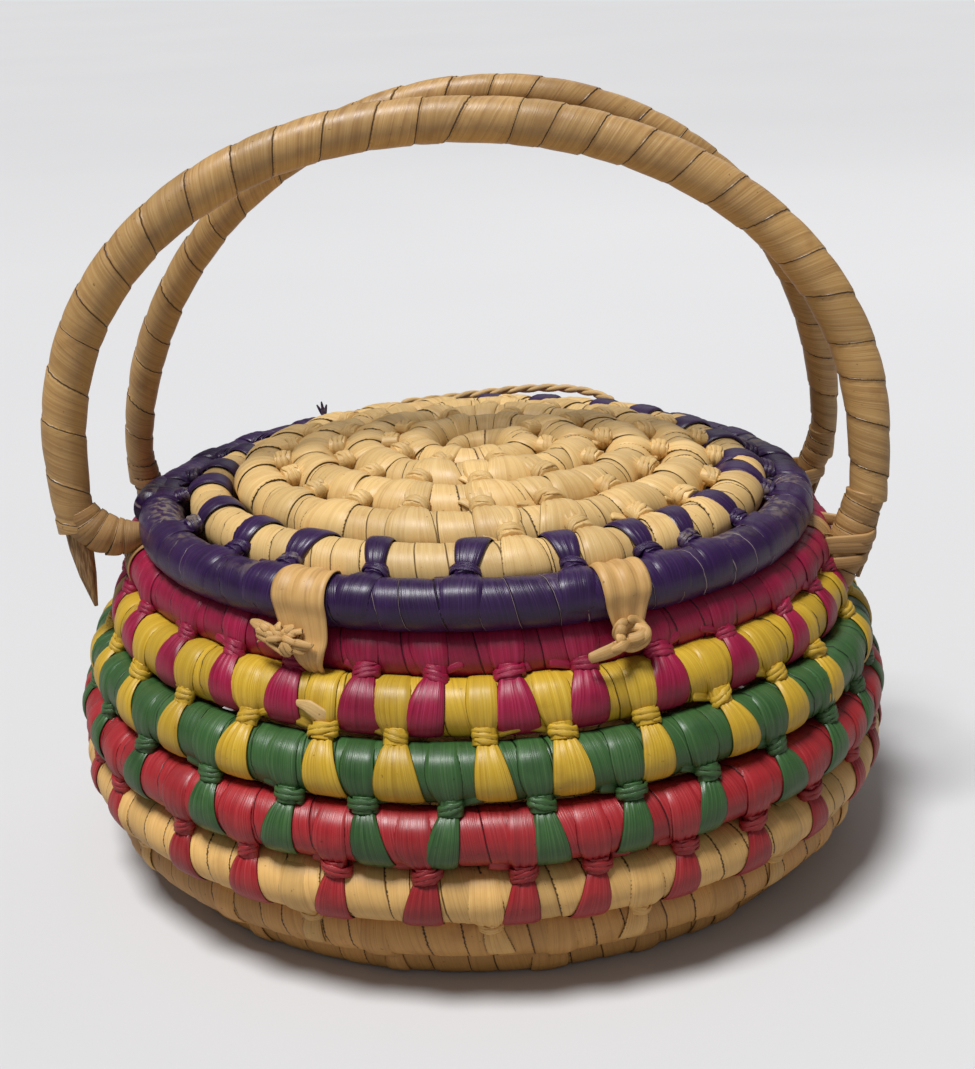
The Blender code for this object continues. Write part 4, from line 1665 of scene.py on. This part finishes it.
def build_pull_loop(finish):
    """Two strands twisted round each other along the loop's path."""
    seat = rim_coil / 2 + seat_gap + loop_cord / 2
    share = np.linspace(0, 1, loop_stations)
    x = loop_left_x + (loop_right_x - loop_left_x) * share
    outward = np.stack([x, np.sqrt(lid_rim_radius**2 - x**2), 0 * x], axis=-1) / lid_rim_radius
    swell = np.sin(math.pi * share**loop_peak_share)
    out = seat * math.cos(loop_seat_angle) + loop_reach * swell
    path = outward * (lid_rim_radius + out)[:, None]
    path[:, 2] += seat * math.sin(loop_seat_angle) + loop_rise * swell
    path = carried(path, lid_place)
    ahead = unit_rows(np.gradient(path, axis=0))
    side = unit_rows(np.cross(ahead, straight_up))
    up = np.cross(side, ahead)
    turn = math.tau * lengths_along(path) / loop_twist
    paths = []
    outs = []
    for strand in range(2):
        turned = (turn + math.pi * strand)[:, None]
        outs.append(side * np.cos(turned) + up * np.sin(turned))
        paths.append(path + outs[-1] * loop_cord * loop_strand_offset)
    width = np.full((2, loop_stations), loop_cord * loop_strand_share)
    thickness = width * loop_strand_flatness
    loop = ribbon_object("lid_pull_loop_strands", paths, outs, width, thickness, finish, "pull_loop")
    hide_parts("lid_pull_loop")


def build_loose_bits(finishes):
    """Small ends of leaf that stick out of the work in the photo."""
    yellow = ring_line("wall_row_yellow")
    spots = [spot_in_photo(yellow, *where) for where in zip(leaf_bit_pixels, leaf_bit_lifts)]
    route = ([spot for spot, _ in spots], spots[1][1], leaf_bit_widths, leaf_bit_thickness)
    bit = loose_ribbons("loose_leaf_bit", [route], finishes["leaf_cream"], "root")

    pink = ring_line("rim_row_pink")
    routes = []
    for pixels, width, lift in zip(raffia_pixels, raffia_widths, raffia_lifts):
        spots = [spot_in_photo(pink, pixel, lift) for pixel in pixels]
        start_share, end_share = raffia_end_shares
        widths = (width * start_share, width, width * end_share)
        routes.append(([spot for spot, _ in spots], spots[1][1], widths, raffia_thickness))
    raffia = loose_ribbons("loose_raffia", routes, finishes["leaf_cream"], "root")

    routes = []
    for share, turn, lean in tuft_strands:
        low, out = coil_spot(lid_rim_line, share, math.radians(turn), tuft_sink, lid_place)
        lean = np.array(lean)
        points = [low, low + lean * tuft_steps[0], low + lean * tuft_steps[1] + out * tuft_tip_out]
        routes.append((points, [0, -1, 0], tuft_widths, tuft_thickness))
    tuft = loose_ribbons("loose_tuft", routes, finishes["leaf_purple"], "lid")


# Floor and light


def build_floor():
    tree = Tree("pale_floor")
    tone = tree.noise(tree.place(), *floor_noise)
    seen = tree.nodes.new("ShaderNodeLightPath").outputs["Is Camera Ray"]
    pale = tree.mix(tone, floor_colour, floor_pale)
    # The photo's dark table throws little light back up
    tree.put(tree.shader.inputs["Base Color"], tree.mix(seen, floor_bounce, pale))
    tree.shader.inputs["Roughness"].default_value = floor_roughness
    tree.shader.inputs["Specular IOR Level"].default_value = floor_sheen
    mesh = bpy.data.meshes.new("floor")
    corners = [(-floor_reach, -floor_reach, 0), (floor_reach, -floor_reach, 0)]
    corners += [(floor_reach, floor_reach, 0), (-floor_reach, floor_reach, 0)]
    mesh.from_pydata(corners, [], [(0, 1, 2, 3)])
    mesh.materials.append(tree.material)
    floor = bpy.data.objects.new("floor", mesh)
    bpy.context.scene.collection.objects.link(floor)


def build_world():
    """An even soft light, and a pale backdrop where the camera looks past the floor."""
    world = bpy.data.worlds.new("studio")
    world.use_nodes = True
    nodes = world.node_tree.nodes
    links = world.node_tree.links
    light = nodes["Background"]
    light.inputs["Color"].default_value = colour(*world_colour)
    light.inputs["Strength"].default_value = world_strength
    seen = nodes.new("ShaderNodeBackground")
    seen.inputs["Color"].default_value = backdrop_colour
    ray = nodes.new("ShaderNodeLightPath")
    mix = nodes.new("ShaderNodeMixShader")
    links.new(ray.outputs["Is Camera Ray"], mix.inputs[0])
    links.new(light.outputs[0], mix.inputs[1])
    links.new(seen.outputs[0], mix.inputs[2])
    links.new(mix.outputs[0], nodes["World Output"].inputs[0])
    bpy.context.scene.world = world


def add_lamp(name, kind, place, power, size):
    data = bpy.data.lights.new(name, kind)
    data.energy = power
    if kind == "SUN":
        data.angle = size
    else:
        data.size = size
    lamp = bpy.data.objects.new(name, data)
    lamp.location = place
    toward = Vector((0, 0, basket_middle_height)) - Vector(place)
    lamp.rotation_euler = toward.to_track_quat("-Z", "Y").to_euler()
    bpy.context.scene.collection.objects.link(lamp)


build_camera()
finishes = build_finishes()
build_wall(finishes)
build_spiral(
    "lid_spiral", lid_line, lid_first, lid_last, lid_wrap_width, lid_stitch_spacing, (0.0, 1.0),
    finishes["leaf_cream"], "leaf_cream", "lid", seed=41, size=lid_stitch_size,
    groove_share=lid_groove_share,
)
build_spiral(
    "base_spiral", base_line, base_first, base_last, wrap_width, base_stitch_spacing, (0.0, -1.0),
    finishes["leaf_tan"], "leaf_tan", "root", seed=43, size=base_stitch_size,
)
build_lid_rim(finishes["leaf_purple"])
build_handle("handle_front", front_handle, finishes, seed=61)
build_handle("handle_rear", rear_handle, finishes, seed=62)
build_tie("hinge_tie_left", tie_angles[0], left_tie_route, finishes["tie_leaf"])
build_tie("hinge_tie_right", tie_angles[1], right_tie_route, finishes["tie_leaf"])
build_tie_knots(finishes["tie_leaf"])
build_lashings(finishes["foot_leaf"])
build_pull_loop(finishes["twisted_cord"])
build_purple_overlap(finishes["leaf_purple"])
build_loose_bits(finishes)
build_floor()
build_world()
for name, (kind, place, power, size) in lamps.items():
    add_lamp(name, kind, place, power, size)
bpy.context.scene.view_settings.view_transform = "Standard"
